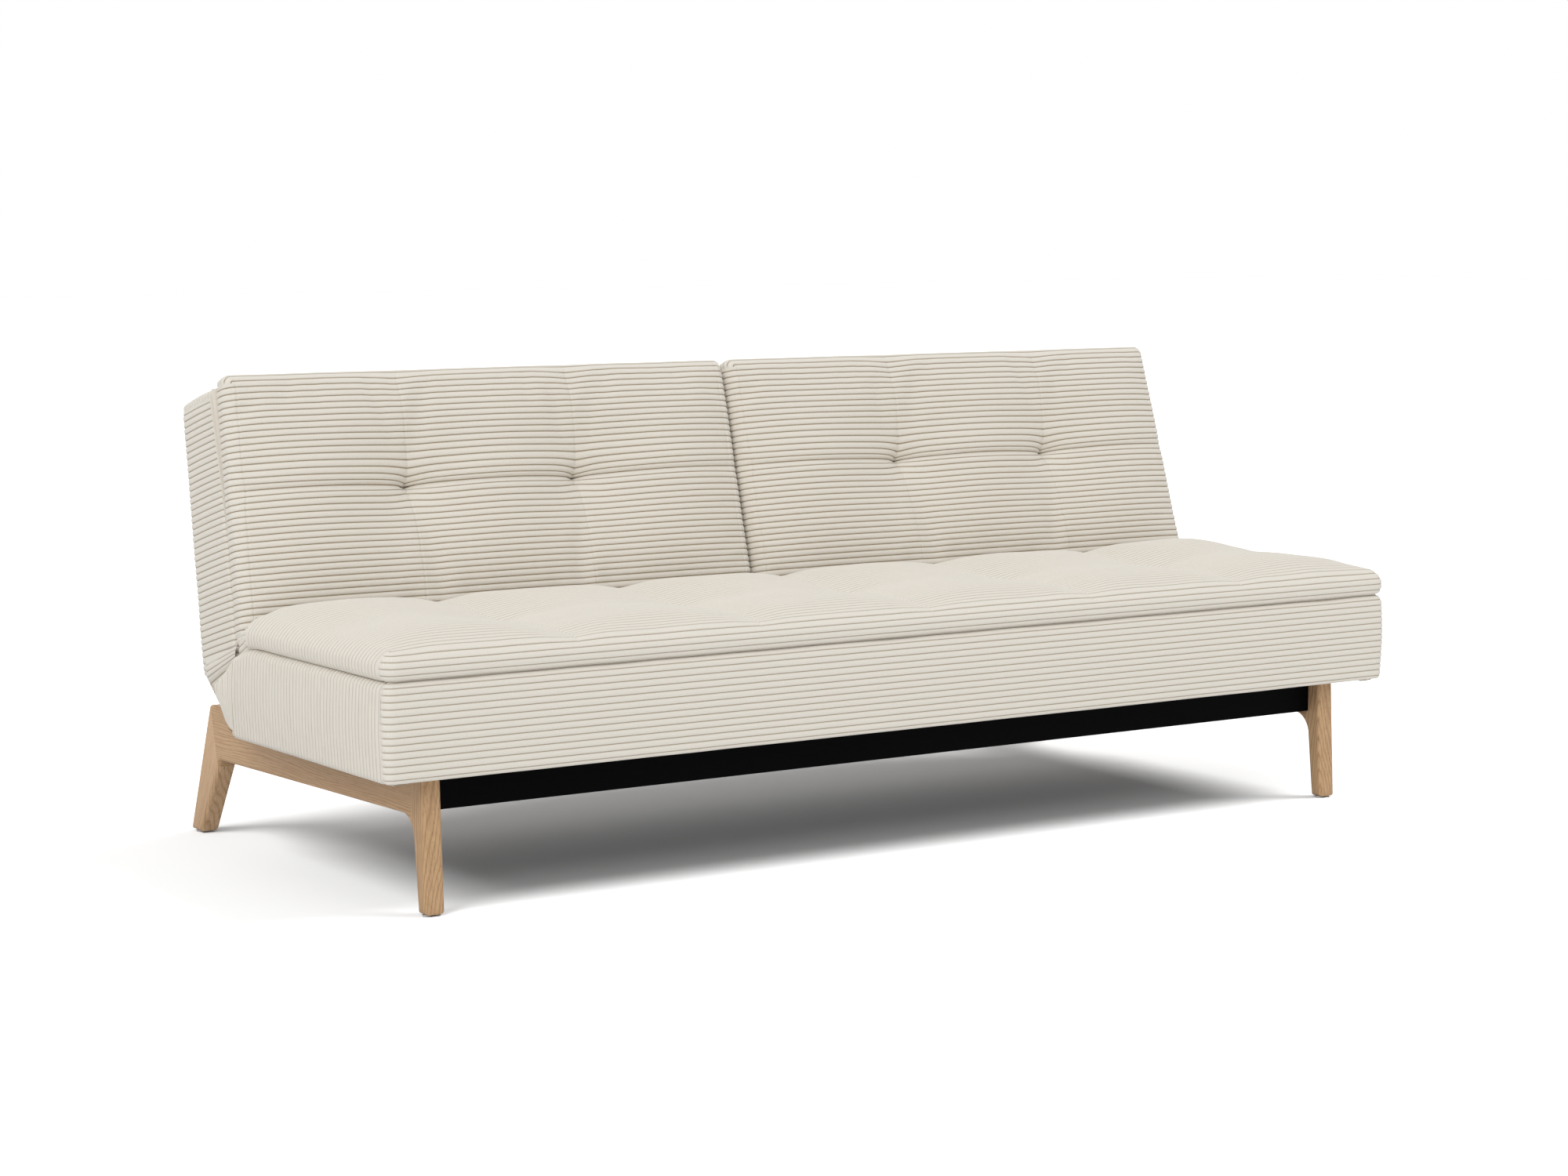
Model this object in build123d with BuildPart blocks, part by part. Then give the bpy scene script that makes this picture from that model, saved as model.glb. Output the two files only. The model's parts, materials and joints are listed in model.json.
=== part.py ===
from build123d import *
import os
from math import cos, radians, sin

os.makedirs("parts", exist_ok=True)

# Sofa bed in millimetres: X runs along it, Y from its front to its back, Z up from the floor
length = 2000
depth = 888
front_y = -depth / 2

# Seat base: an upholstered box, open underneath, over a steel frame
base_bottom_z = 212
base_height = 154
base_depth = 545
base_wall = 45
base_rear_wall = 10
base_corner_radius = 20
base_edge_radius = 9
base_top_z = base_bottom_z + base_height

# Seat pad: sewn channels part it into pillows
seat_pad_inset = 45
seat_pad_depth = base_depth - seat_pad_inset
seat_pad_edge = 40
seat_pad_crown = 22
seat_pillows = 6
seat_rows = 2
seat_pad_top_z = base_top_z + seat_pad_edge

# Hinge line of the back halves and how far they tilt, in degrees
hinge_behind_base = 35
hinge_z = 340
hinge_y = front_y + base_depth + hinge_behind_base
back_lean = 15
recline_stops = (0, 40, 75)

# Back halves: u runs up the back from the hinge line and n forward from it
# The face of the back pad is level with the seat's edge once the back lies flat
back_gap = 8
back_end_inset = 15
back_end_taper = 23
back_bottom_u = -15
back_top_u = 434
back_pad_bottom_u = 18
back_pad_top_u = 446
back_pad_edge = 38
back_pad_crown = 14
back_pillows = 3
back_rows = 2
back_foam = 67
back_wall = 30
back_top_wall = 40
back_rear_radius = 30
rear_cover_thickness = 10
back_pad_front_n = seat_pad_top_z - hinge_z
back_front_n = back_pad_front_n - back_pad_edge
back_inner_x = back_gap / 2
back_outer_x = length / 2 - back_end_inset
back_outer_top_x = back_outer_x - back_end_taper

# Soft pads: drawn-in sides, rounded corners and sewn tufts
pad_draw_in = 4
pad_corner_radius = 24
tuft_depth = 9
tuft_rise = 8
tuft_radius = 34
tuft_pin_radius = 4

# Steel tube of the seat and back frames
tube_width = 30
tube_height = 50
tube_wall = 2.5
inner_tube_x = 45

# Sinuous springs and their clips
wire_radius = 2
spring_bar = 28
spring_pitch = 38
springs_per_half = 3
clip_length = 18
clip_width = 14
clip_height = 7
clip_groove = 4.4
clip_clearance = 0.3

# Ratchet hinges, two for each back half
inner_hinge_x = 60
outer_hinge_from_end = 112
outer_hinge_x = length / 2 - outer_hinge_from_end
plate = 5
plate_gap = 0.3
eye_radius = 20
disc_radius = 22
disc_clearance = 7.3
pin_radius = 6
pin_clearance = 0.05
pin_head_radius = 10
pin_head = 3
flange_width = 50
web_root = 8
web_root_height = 24
notch_radius = 3.6
pawl_radius = 3.2
pawl_thickness = 3
pawl_foot_height = 26
hinge_slot_before = 26
hinge_slot_after = 36

# Bolts
bolt_radius = 4
bolt_head_radius = 6.5
bolt_head = 5
bolt_spacing = 34
bolt_clearance = 0.1
bolt_grip = 6

# Oak leg frames, measured back from the front of the seat base
leg_thickness = 34
leg_from_end = 98
leg_centre_x = length / 2 - leg_from_end
leg_edge_radius = 7
front_leg_setback = 36
front_leg_splay = 10
front_foot_depth = 26
front_leg_top_depth = 32
front_rail_height = 63
rear_rail_height = 76
leg_rail_radius = 38
rear_corner_radius = 8
foot_corner_radius = 2
rear_foot_depth = 40
rear_leg_splay = 84
rear_block_length = 70
rear_block_drop = 5
rear_leg_root = 38
scoop_radius = 20
flat_rest_gap = 3
front_joint_from_front = 80
rear_joint_behind_root = 19
rear_joint_tilt = 13.5
tenon_thickness = 12
tenon_height = 34
tenon_length = 18
leg_inner_x = leg_centre_x - leg_thickness / 2

# Glides under the feet
glide_radius = 7
glide_height = 3
glide_spacing = 16

# Black steel cross beams and their end plates
beam_depth = 40
beam_height = 57
beam_wall = 3
front_beam_from_front = 72
rear_beam_inset = 20
rear_beam_from_front = base_depth - rear_beam_inset - beam_depth
end_plate = 6
leg_bolt_length = 24
leg_bolt_spacing = 28

# Cloths: the one under the seat, and the one that bridges seat and back behind the hinge
cloth = 1
gusset = 3
gusset_low_z = 222
gusset_gap = 0.3
gusset_end_inset = 4

# Levels and planes worked out from the sizes above
frame_bottom_z = base_bottom_z + cloth
frame_top_z = frame_bottom_z + tube_height
clip_space = clip_height + clip_clearance
base_ceiling_z = frame_top_z + clip_space
seat_rear_y = front_y + base_depth
seat_frame_x = length / 2 - base_wall
seat_frame_front_y = front_y + base_wall
seat_frame_rear_y = seat_rear_y - base_rear_wall
back_frame_front_n = back_front_n - back_foam - clip_space
back_frame_rear_n = back_frame_front_n - tube_height
back_rear_n = back_frame_rear_n - rear_cover_thickness
back_frame_inner_x = back_inner_x + back_wall
back_frame_outer_x = back_outer_top_x - back_wall
back_frame_low_u = disc_radius + plate + bolt_head + disc_clearance
back_frame_high_u = back_top_u - back_top_wall
bracket_gap = plate + plate_gap
lean_sin = sin(radians(back_lean))
lean_cos = cos(radians(back_lean))
hinge_point = (0, hinge_y, hinge_z)
back_plane = Plane(origin=hinge_point, x_dir=(1, 0, 0), z_dir=(0, -lean_cos, lean_sin))
back_side = Plane(origin=hinge_point, x_dir=(0, lean_sin, lean_cos), z_dir=(1, 0, 0))
back_rise = Plane(origin=hinge_point, x_dir=(1, 0, 0), z_dir=(0, lean_sin, lean_cos))


def save(piece, node):
    piece.label = node
    export_step(piece, f"parts/{node}.step")


def save_pair(right_piece, node):
    save(right_piece, f"right_{node}")
    with BuildPart() as left:
        mirror(right_piece, about=Plane.YZ)
    save(left.part, f"left_{node}")


def stops(first, last, count):
    return [first + (last - first) * i / count for i in range(count + 1)]


def scalloped(seams, edge, crown, skirt):
    # Section of a pad across its seams: one arc for each pillow
    Polyline((seams[0], edge), (seams[0], -skirt), (seams[-1], -skirt), (seams[-1], edge))
    for near, far in zip(seams, seams[1:]):
        ThreePointArc((near, edge), ((near + far) / 2, edge + crown), (far, edge))


def tufted_pad(base, corners, across, along, edge, crown):
    # Pad on a base plane: its outline, cut to the pillows' arcs both ways, with a tuft at each crossing
    reach = abs(across[-1] - across[0]) + abs(along[-1] - along[0])
    with BuildPart(base) as pad:
        with BuildSketch(base) as outline:
            with BuildLine():
                for start, end in zip(corners, corners[1:] + corners[:1]):
                    side = Vector(*end) - Vector(*start)
                    inward = Vector(-side.Y, side.X).normalized() * pad_draw_in
                    ThreePointArc(start, (Vector(*start) + Vector(*end)) / 2 + inward, end)
            make_face()
            fillet(outline.vertices(), pad_corner_radius)
        extrude(amount=edge + crown)
        with BuildSketch(Plane(base.origin, x_dir=base.x_dir, z_dir=-base.y_dir)):
            with BuildLine():
                scalloped(across, edge, crown, edge)
            make_face()
        extrude(amount=reach, both=True, mode=Mode.INTERSECT)
        with BuildSketch(Plane(base.origin, x_dir=base.y_dir, z_dir=base.x_dir)):
            with BuildLine():
                scalloped(along, edge, crown, edge)
            make_face()
        extrude(amount=reach, both=True, mode=Mode.INTERSECT)
        with Locations(*[(x, y, edge - tuft_depth) for x in across[1:-1] for y in along[1:-1]]):
            Cone(
                tuft_pin_radius,
                tuft_radius,
                tuft_depth + tuft_rise,
                align=(Align.CENTER, Align.CENTER, Align.MIN),
                mode=Mode.SUBTRACT,
            )
    return pad.part


def tube(size_x, size_y, size_z, run):
    # Square-cornered steel tube about the current location, hollow along the given axis
    bore_x = size_x if run == "X" else size_x - 2 * tube_wall
    bore_y = size_y if run == "Y" else size_y - 2 * tube_wall
    Box(size_x, size_y, size_z)
    Box(bore_x, bore_y, size_z - 2 * tube_wall, mode=Mode.SUBTRACT)


def sinuous_spring(span):
    # Zigzag wire in the XY plane: bars joined by half turns, centred on the origin
    bends = round(span / spring_pitch)
    pitch = span / bends
    with BuildPart() as spring:
        with BuildLine() as path:
            for k in range(bends + 1):
                y = -span / 2 + k * pitch
                way = 1 if k % 2 == 0 else -1
                Line((-way * spring_bar / 2, y), (way * spring_bar / 2, y))
                if k < bends:
                    turn = way * (spring_bar + pitch) / 2
                    ThreePointArc(
                        (way * spring_bar / 2, y), (turn, y + pitch / 2), (way * spring_bar / 2, y + pitch)
                    )
        with BuildSketch(Plane(origin=path.wire() @ 0, z_dir=path.wire() % 0)):
            Circle(wire_radius)
        sweep(path=path.wire())
    return spring.part


# Oak leg frame, drawn from the side as one outline, then parted at its two joints
rail_top_z = base_bottom_z
heel = depth
toe = heel - rear_foot_depth
block_rear = heel - rear_leg_splay
block_front = block_rear - rear_block_length
block_top_z = hinge_z + back_rear_n - flat_rest_gap
front_top = front_leg_setback + front_leg_splay
rear_root = block_rear - rear_leg_root
leg_outline = [
    ((front_top, rail_top_z), foot_corner_radius),
    ((front_leg_setback, glide_height), foot_corner_radius),
    ((front_leg_setback + front_foot_depth, glide_height), foot_corner_radius),
    ((front_top + front_leg_top_depth, rail_top_z - front_rail_height), leg_rail_radius),
    ((rear_root, rail_top_z - rear_rail_height), rear_corner_radius),
    ((toe, glide_height), foot_corner_radius),
    ((heel, glide_height), foot_corner_radius),
    ((block_rear, block_top_z - rear_block_drop), foot_corner_radius),
    ((block_front, block_top_z), foot_corner_radius),
    ((block_front, rail_top_z), 0),
]
with BuildPart() as leg_frame:
    with BuildSketch(Plane.YZ.offset(leg_inner_x)):
        with BuildLine():
            FilletPolyline(
                *[(front_y + y, z) for (y, z), _ in leg_outline],
                radius=[radius for _, radius in leg_outline],
                close=True,
            )
        make_face()
    extrude(amount=leg_thickness)
    fillet(leg_frame.faces().filter_by(Axis.X).edges(), leg_edge_radius)
    with BuildSketch(Plane.YZ.offset(leg_inner_x)):
        with Locations((front_y + block_front - scoop_radius, rail_top_z)):
            Circle(scoop_radius)
    extrude(amount=leg_thickness, mode=Mode.SUBTRACT)

front_joint = Plane(origin=(0, front_y + front_joint_from_front, 0), z_dir=(0, 1, 0))
tilt = radians(rear_joint_tilt)
joint_mid_z = rail_top_z - rear_rail_height / 2
rear_joint = Plane(
    origin=(0, front_y + rear_root + rear_joint_behind_root, joint_mid_z), z_dir=(0, cos(tilt), -sin(tilt))
)
front_tenon = (leg_centre_x, front_joint.origin.Y, rail_top_z - front_rail_height / 2)
rear_tenon = (leg_centre_x, rear_joint.origin.Y, joint_mid_z)


def tenon_at(place, mode):
    with Locations(place):
        Box(tenon_thickness, 2 * tenon_length, tenon_height, mode=mode)


front_bolts_y = front_y + front_beam_from_front + beam_depth / 2
rear_bolts_y = front_y + rear_beam_from_front + beam_depth / 2
beam_mid_z = base_bottom_z - beam_height / 2
leg_bolts = [
    (y, beam_mid_z + way * leg_bolt_spacing / 2) for y in (front_bolts_y, rear_bolts_y) for way in (-1, 1)
]

with BuildPart() as front_leg:
    add(leg_frame.part)
    split(bisect_by=front_joint, keep=Keep.BOTTOM)
    tenon_at(front_tenon, Mode.SUBTRACT)
save_pair(front_leg.part, "front_leg")

with BuildPart() as rear_leg:
    add(leg_frame.part)
    split(bisect_by=rear_joint, keep=Keep.TOP)
    tenon_at(rear_tenon, Mode.SUBTRACT)
save_pair(rear_leg.part, "rear_leg")

with BuildPart() as side_rail:
    add(leg_frame.part)
    split(bisect_by=front_joint, keep=Keep.TOP)
    split(bisect_by=rear_joint, keep=Keep.BOTTOM)
    tenon_at(front_tenon, Mode.ADD)
    tenon_at(rear_tenon, Mode.ADD)
    with BuildSketch(Plane.YZ.offset(leg_inner_x)):
        with Locations(*leg_bolts):
            Circle(bolt_radius + bolt_clearance)
    extrude(amount=leg_bolt_length + bolt_clearance, mode=Mode.SUBTRACT)
save_pair(side_rail.part, "side_rail")

# Two glides under each foot
foot_middles = (front_y + front_leg_setback + front_foot_depth / 2, front_y + heel - rear_foot_depth / 2)
with BuildPart() as foot_glides:
    for middle in foot_middles:
        for side in (-1, 1):
            with BuildSketch():
                with Locations((side * leg_centre_x, middle)):
                    with GridLocations(glide_spacing, 0, 2, 1):
                        Circle(glide_radius)
            extrude(amount=glide_height)
save(foot_glides.part, "foot_glides")

# Black cross beams: open channels between end plates that are bolted to the oak rails
beam_length = 2 * (leg_inner_x - end_plate)


def cross_beam(from_front, open_way):
    middle = front_y + from_front + beam_depth / 2
    with BuildPart() as beam:
        with BuildSketch(Plane.YZ):
            with Locations((middle, beam_mid_z)):
                Rectangle(beam_depth, beam_height)
            with Locations((middle + open_way * beam_wall, beam_mid_z)):
                Rectangle(beam_depth, beam_height - 2 * beam_wall, mode=Mode.SUBTRACT)
        extrude(amount=beam_length / 2, both=True)
    return beam.part


save(cross_beam(front_beam_from_front, 1), "front_cross_beam")
save(cross_beam(rear_beam_from_front, -1), "rear_cross_beam")

with BuildPart() as beam_end_plates:
    for side in (-1, 1):
        with Locations(
            (side * (leg_inner_x - end_plate / 2), front_bolts_y, beam_mid_z),
            (side * (leg_inner_x - end_plate / 2), rear_bolts_y, beam_mid_z),
        ):
            Box(end_plate, beam_depth, beam_height)
    with BuildSketch(Plane.YZ):
        with Locations(*leg_bolts):
            Circle(bolt_radius + bolt_clearance)
    extrude(amount=length / 2, both=True, mode=Mode.SUBTRACT)
save(beam_end_plates.part, "beam_end_plates")

with BuildPart() as right_leg_bolts:
    with BuildSketch(Plane.YZ.offset(leg_inner_x - end_plate)):
        with Locations(*leg_bolts):
            Circle(bolt_radius)
    extrude(amount=end_plate + leg_bolt_length)
    with BuildSketch(Plane.YZ.offset(leg_inner_x - end_plate - bolt_head)):
        with Locations(*leg_bolts):
            RegularPolygon(bolt_head_radius, 6)
    extrude(amount=bolt_head)
with BuildPart() as leg_bolts_group:
    add(right_leg_bolts.part)
    mirror(right_leg_bolts.part, about=Plane.YZ)
save(leg_bolts_group.part, "leg_bolts")

# Steel frame of the seat base: a front and a rear tube, and four tubes between them
tube_mid_z = frame_bottom_z + tube_height / 2
cross_tube_length = seat_frame_rear_y - seat_frame_front_y - 2 * tube_width
cross_tube_y = (seat_frame_front_y + seat_frame_rear_y) / 2
hinge_spots = {"inner": inner_hinge_x, "outer": outer_hinge_x}
seat_bolts = [
    side * (x + plate / 2 + way * bolt_spacing / 2)
    for x in hinge_spots.values() for side in (-1, 1) for way in (-1, 1)
]

with BuildPart() as seat_front_tube:
    with Locations((0, seat_frame_front_y + tube_width / 2, tube_mid_z)):
        tube(2 * seat_frame_x, tube_width, tube_height, "X")
save(seat_front_tube.part, "seat_front_tube")

with BuildPart() as seat_rear_tube:
    with Locations((0, seat_frame_rear_y - tube_width / 2, tube_mid_z)):
        tube(2 * seat_frame_x, tube_width, tube_height, "X")
    with BuildSketch(Plane.XZ.offset(-seat_frame_rear_y)):
        with Locations(*[(x, tube_mid_z) for x in seat_bolts]):
            Circle(bolt_radius + bolt_clearance)
    extrude(amount=2 * tube_wall, mode=Mode.SUBTRACT)
save(seat_rear_tube.part, "seat_rear_tube")

with BuildPart() as seat_end_tube:
    with Locations((seat_frame_x - tube_width / 2, cross_tube_y, tube_mid_z)):
        tube(tube_width, cross_tube_length, tube_height, "Y")
save_pair(seat_end_tube.part, "seat_end_tube")

with BuildPart() as seat_inner_tube:
    with Locations((inner_tube_x + tube_width / 2, cross_tube_y, tube_mid_z)):
        tube(tube_width, cross_tube_length, tube_height, "Y")
save_pair(seat_inner_tube.part, "seat_inner_tube")

# Seat springs, clipped on top of the front and rear tubes
seat_span = seat_frame_rear_y - seat_frame_front_y - tube_width
first_bay = inner_tube_x + tube_width
last_bay = seat_frame_x - tube_width
seat_spring_x = stops(first_bay, last_bay, springs_per_half + 1)[1:-1]
seat_spring = sinuous_spring(seat_span)
with BuildPart() as seat_springs:
    for side in (-1, 1):
        for x in seat_spring_x:
            with Locations((side * x, cross_tube_y, frame_top_z + wire_radius)):
                add(seat_spring)
save(seat_springs.part, "seat_springs")


def spring_clips(plane, places):
    # Steel straps over the end bars of the springs, standing on the given plane
    with BuildPart() as clips:
        with BuildSketch(plane):
            with Locations(*places):
                Rectangle(clip_length, clip_width)
        extrude(amount=clip_height)
        with BuildSketch(plane):
            with Locations(*places):
                Rectangle(clip_length, clip_groove)
        extrude(amount=2 * wire_radius + clip_clearance, mode=Mode.SUBTRACT)
    return clips.part


seat_clip_places = [
    (side * x, cross_tube_y + end * seat_span / 2)
    for x in seat_spring_x for side in (-1, 1) for end in (-1, 1)
]
save(spring_clips(Plane.XY.offset(frame_top_z), seat_clip_places), "seat_spring_clips")

# Cloth that closes the underside of the seat base
with BuildPart() as underseat_cloth:
    with BuildSketch(Plane.XY.offset(base_bottom_z)):
        with Locations((0, cross_tube_y)):
            Rectangle(2 * seat_frame_x, seat_frame_rear_y - seat_frame_front_y)
    extrude(amount=cloth)
save(underseat_cloth.part, "underseat_cloth")

# Upholstered seat base, hollow below for its frame, with slots in its rear wall for the hinges
with BuildPart() as seat_base_cushion:
    with BuildSketch(Plane.XY.offset(base_bottom_z)):
        with Locations((0, front_y + base_depth / 2)):
            RectangleRounded(length, base_depth, base_corner_radius)
    extrude(amount=base_height)
    fillet(seat_base_cushion.faces().filter_by(Axis.Z).edges(), base_edge_radius)
    with BuildSketch(Plane.XY.offset(base_bottom_z)):
        with Locations((0, cross_tube_y)):
            Rectangle(2 * seat_frame_x, seat_frame_rear_y - seat_frame_front_y)
    extrude(amount=base_ceiling_z - base_bottom_z, mode=Mode.SUBTRACT)
    with BuildSketch(Plane.XZ.offset(-seat_rear_y)):
        for x in hinge_spots.values():
            for side in (-1, 1):
                near = side * (x - hinge_slot_before)
                far = side * (x + hinge_slot_after)
                with Locations(((near + far) / 2, (base_bottom_z + base_top_z) / 2)):
                    Rectangle(abs(far - near), base_height)
    extrude(amount=base_rear_wall, mode=Mode.SUBTRACT)
save(seat_base_cushion.part, "seat_base_cushion")

# Seat pad on the base
seat_plane = Plane(origin=(0, front_y, base_top_z))
seat_corners = [
    (-length / 2, 0), (length / 2, 0), (length / 2, seat_pad_depth), (-length / 2, seat_pad_depth)
]
seat_pad = tufted_pad(
    seat_plane,
    seat_corners,
    stops(-length / 2, length / 2, seat_pillows),
    stops(0, seat_pad_depth, seat_rows),
    seat_pad_edge,
    seat_pad_crown,
)
save(seat_pad, "seat_pad")

# Right back half; the left one is its mirror image
back_pad_plane = back_plane.offset(back_front_n)
back_taper = back_end_taper / (back_top_u - back_bottom_u)
pad_low_x = back_outer_x - back_taper * (back_pad_bottom_u - back_bottom_u)
pad_high_x = back_outer_x - back_taper * (back_pad_top_u - back_bottom_u)
back_pad_corners = [
    (back_inner_x, back_pad_bottom_u),
    (pad_low_x, back_pad_bottom_u),
    (pad_high_x, back_pad_top_u),
    (back_inner_x, back_pad_top_u),
]
back_pad = tufted_pad(
    back_pad_plane,
    back_pad_corners,
    stops(back_inner_x, pad_low_x, back_pillows),
    stops(back_pad_bottom_u, back_pad_top_u, back_rows),
    back_pad_edge,
    back_pad_crown,
)
save_pair(back_pad, "back_pad")

# Cushion behind the pad, hollow at the rear for the frame, and the cover that closes it
cushion_corners = [
    (back_inner_x, back_bottom_u),
    (back_outer_x, back_bottom_u),
    (back_outer_top_x, back_top_u),
    (back_inner_x, back_top_u),
]
with BuildPart() as back_block:
    with BuildSketch(back_plane.offset(back_rear_n)) as block_outline:
        with BuildLine():
            Polyline(*cushion_corners, close=True)
        make_face()
        fillet(block_outline.vertices(), base_corner_radius)
    extrude(amount=back_front_n - back_rear_n)
    fillet(back_block.faces().sort_by(Axis(hinge_point, back_plane.z_dir))[0].edges(), back_rear_radius)
    for x in hinge_spots.values():
        with BuildSketch(back_plane.offset(back_rear_n)):
            with Locations((x + (hinge_slot_after - hinge_slot_before) / 2, back_bottom_u)):
                Rectangle(hinge_slot_before + hinge_slot_after, 2 * (back_frame_low_u - back_bottom_u))
        extrude(amount=back_front_n - back_rear_n, mode=Mode.SUBTRACT)

with BuildPart() as back_cushion:
    add(back_block.part)
    split(bisect_by=back_plane.offset(back_frame_rear_n), keep=Keep.TOP)
    with BuildSketch(back_plane.offset(back_frame_rear_n)):
        with Locations(
            ((back_frame_inner_x + back_frame_outer_x) / 2, (back_frame_low_u + back_frame_high_u) / 2)
        ):
            Rectangle(back_frame_outer_x - back_frame_inner_x, back_frame_high_u - back_frame_low_u)
    extrude(amount=tube_height + clip_space, mode=Mode.SUBTRACT)
save_pair(back_cushion.part, "back_cushion")

with BuildPart() as back_rear_cover:
    add(back_block.part)
    split(bisect_by=back_plane.offset(back_frame_rear_n), keep=Keep.BOTTOM)
save_pair(back_rear_cover.part, "back_rear_cover")

# Steel frame of the back half
back_tube_n = back_frame_front_n - tube_height / 2
back_frame_x = (back_frame_inner_x + back_frame_outer_x) / 2
back_frame_u = (back_frame_low_u + back_frame_high_u) / 2
back_frame_width = back_frame_outer_x - back_frame_inner_x
back_upright = back_frame_high_u - back_frame_low_u - 2 * tube_width
back_bolts = [
    x + bracket_gap + plate / 2 + way * bolt_spacing / 2 for x in hinge_spots.values() for way in (-1, 1)
]

with BuildPart(back_plane) as back_lower_tube:
    with Locations((back_frame_x, back_frame_low_u + tube_width / 2, back_tube_n)):
        tube(back_frame_width, tube_width, tube_height, "X")
    with BuildSketch(back_rise):
        with Locations(*[(x, -back_tube_n) for x in back_bolts]):
            Circle(bolt_radius + bolt_clearance)
    extrude(amount=back_frame_low_u + 2 * tube_wall, mode=Mode.SUBTRACT)
save_pair(back_lower_tube.part, "back_lower_tube")

with BuildPart(back_plane) as back_upper_tube:
    with Locations((back_frame_x, back_frame_high_u - tube_width / 2, back_tube_n)):
        tube(back_frame_width, tube_width, tube_height, "X")
save_pair(back_upper_tube.part, "back_upper_tube")

for name, x in (("inner", back_frame_inner_x), ("outer", back_frame_outer_x - tube_width)):
    with BuildPart(back_plane) as back_side_tube:
        with Locations((x + tube_width / 2, back_frame_u, back_tube_n)):
            tube(tube_width, back_upright, tube_height, "Y")
    save_pair(back_side_tube.part, f"back_{name}_tube")

back_span = back_frame_high_u - back_frame_low_u - tube_width
back_spring_x = stops(
    back_frame_inner_x + tube_width, back_frame_outer_x - tube_width, springs_per_half + 1
)[1:-1]
back_spring = sinuous_spring(back_span)
with BuildPart(back_plane) as back_springs:
    for x in back_spring_x:
        with Locations((x, back_frame_u, back_frame_front_n + wire_radius)):
            add(back_spring)
save_pair(back_springs.part, "back_springs")

back_clip_places = [(x, back_frame_u + end * back_span / 2) for x in back_spring_x for end in (-1, 1)]
save_pair(spring_clips(back_plane.offset(back_frame_front_n), back_clip_places), "back_spring_clips")

# Ratchet hinges: a seat bracket and a back bracket with a notched disc turn about a common pin
flange_mid_y = seat_frame_rear_y + plate / 2
tooth_y = hinge_y - disc_radius

for name, x in hinge_spots.items():
    with BuildPart() as seat_bracket:
        with BuildSketch(Plane.YZ.offset(x)) as web:
            with Locations((hinge_y, hinge_z)):
                Circle(eye_radius)
            with Locations((seat_frame_rear_y + plate + web_root / 2, frame_top_z - web_root_height / 2)):
                Rectangle(web_root, web_root_height)
            make_hull(web.edges())
            with Locations((hinge_y, hinge_z)):
                Circle(pin_radius + pin_clearance, mode=Mode.SUBTRACT)
        extrude(amount=plate)
        with Locations((x + plate / 2, flange_mid_y, tube_mid_z)):
            Box(flange_width, plate, tube_height)
        with BuildSketch(Plane.XZ.offset(-seat_frame_rear_y - plate)):
            with Locations(*[(x + plate / 2 + way * bolt_spacing / 2, tube_mid_z) for way in (-1, 1)]):
                Circle(bolt_radius + bolt_clearance)
        extrude(amount=plate, mode=Mode.SUBTRACT)
    save_pair(seat_bracket.part, f"{name}_seat_bracket")

    disc_x = x + bracket_gap
    with BuildPart() as back_bracket:
        with BuildSketch(back_side.offset(disc_x)) as arm:
            Circle(eye_radius)
            with Locations((back_frame_low_u - plate - web_root / 2, back_tube_n)):
                Rectangle(web_root, tube_height)
            make_hull(arm.edges())
            Circle(disc_radius)
            for stop in recline_stops:
                with PolarLocations(disc_radius, 1, start_angle=90 + back_lean + stop):
                    Circle(notch_radius, mode=Mode.SUBTRACT)
            Circle(pin_radius + pin_clearance, mode=Mode.SUBTRACT)
        extrude(amount=plate)
        flange_x = disc_x + plate / 2
        with BuildSketch(back_plane.offset(back_frame_rear_n)):
            with Locations((flange_x, back_frame_low_u - plate / 2)):
                Rectangle(flange_width, plate)
        extrude(amount=tube_height)
        with BuildSketch(back_rise.offset(back_frame_low_u - plate)):
            with Locations(*[(flange_x + way * bolt_spacing / 2, -back_tube_n) for way in (-1, 1)]):
                Circle(bolt_radius + bolt_clearance)
        extrude(amount=plate, mode=Mode.SUBTRACT)
    save_pair(back_bracket.part, f"{name}_back_bracket")

# Pivot pins, fixed in the seat brackets
with BuildPart() as right_hinge_pins:
    for x in hinge_spots.values():
        far_x = x + 2 * bracket_gap
        for start, end, radius in (
            (x - pin_head, x, pin_head_radius),
            (x, far_x, pin_radius),
            (far_x, far_x + pin_head, pin_head_radius),
        ):
            with BuildSketch(Plane.YZ.offset(start)):
                with Locations((hinge_y, hinge_z)):
                    Circle(radius)
            extrude(amount=end - start)
with BuildPart() as hinge_pins:
    add(right_hinge_pins.part)
    mirror(right_hinge_pins.part, about=Plane.YZ)
save(hinge_pins.part, "hinge_pins")

# Sprung pawls: a leaf on the seat bracket's flange, with a tooth in a notch of the disc
leaf_y = seat_frame_rear_y + plate + pawl_thickness / 2
with BuildPart() as pawl_springs:
    for x in hinge_spots.values():
        with BuildSketch(Plane.YZ.offset(x + bracket_gap)) as leaf:
            with Locations((leaf_y, frame_top_z - pawl_foot_height / 2)):
                Rectangle(pawl_thickness, pawl_foot_height)
            with Locations((tooth_y - pawl_radius, hinge_z)):
                Circle(pawl_thickness / 2)
            make_hull(leaf.edges())
            with Locations((tooth_y, hinge_z)):
                Circle(pawl_radius)
        extrude(amount=plate)
save_pair(pawl_springs.part, "pawl_springs")


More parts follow.
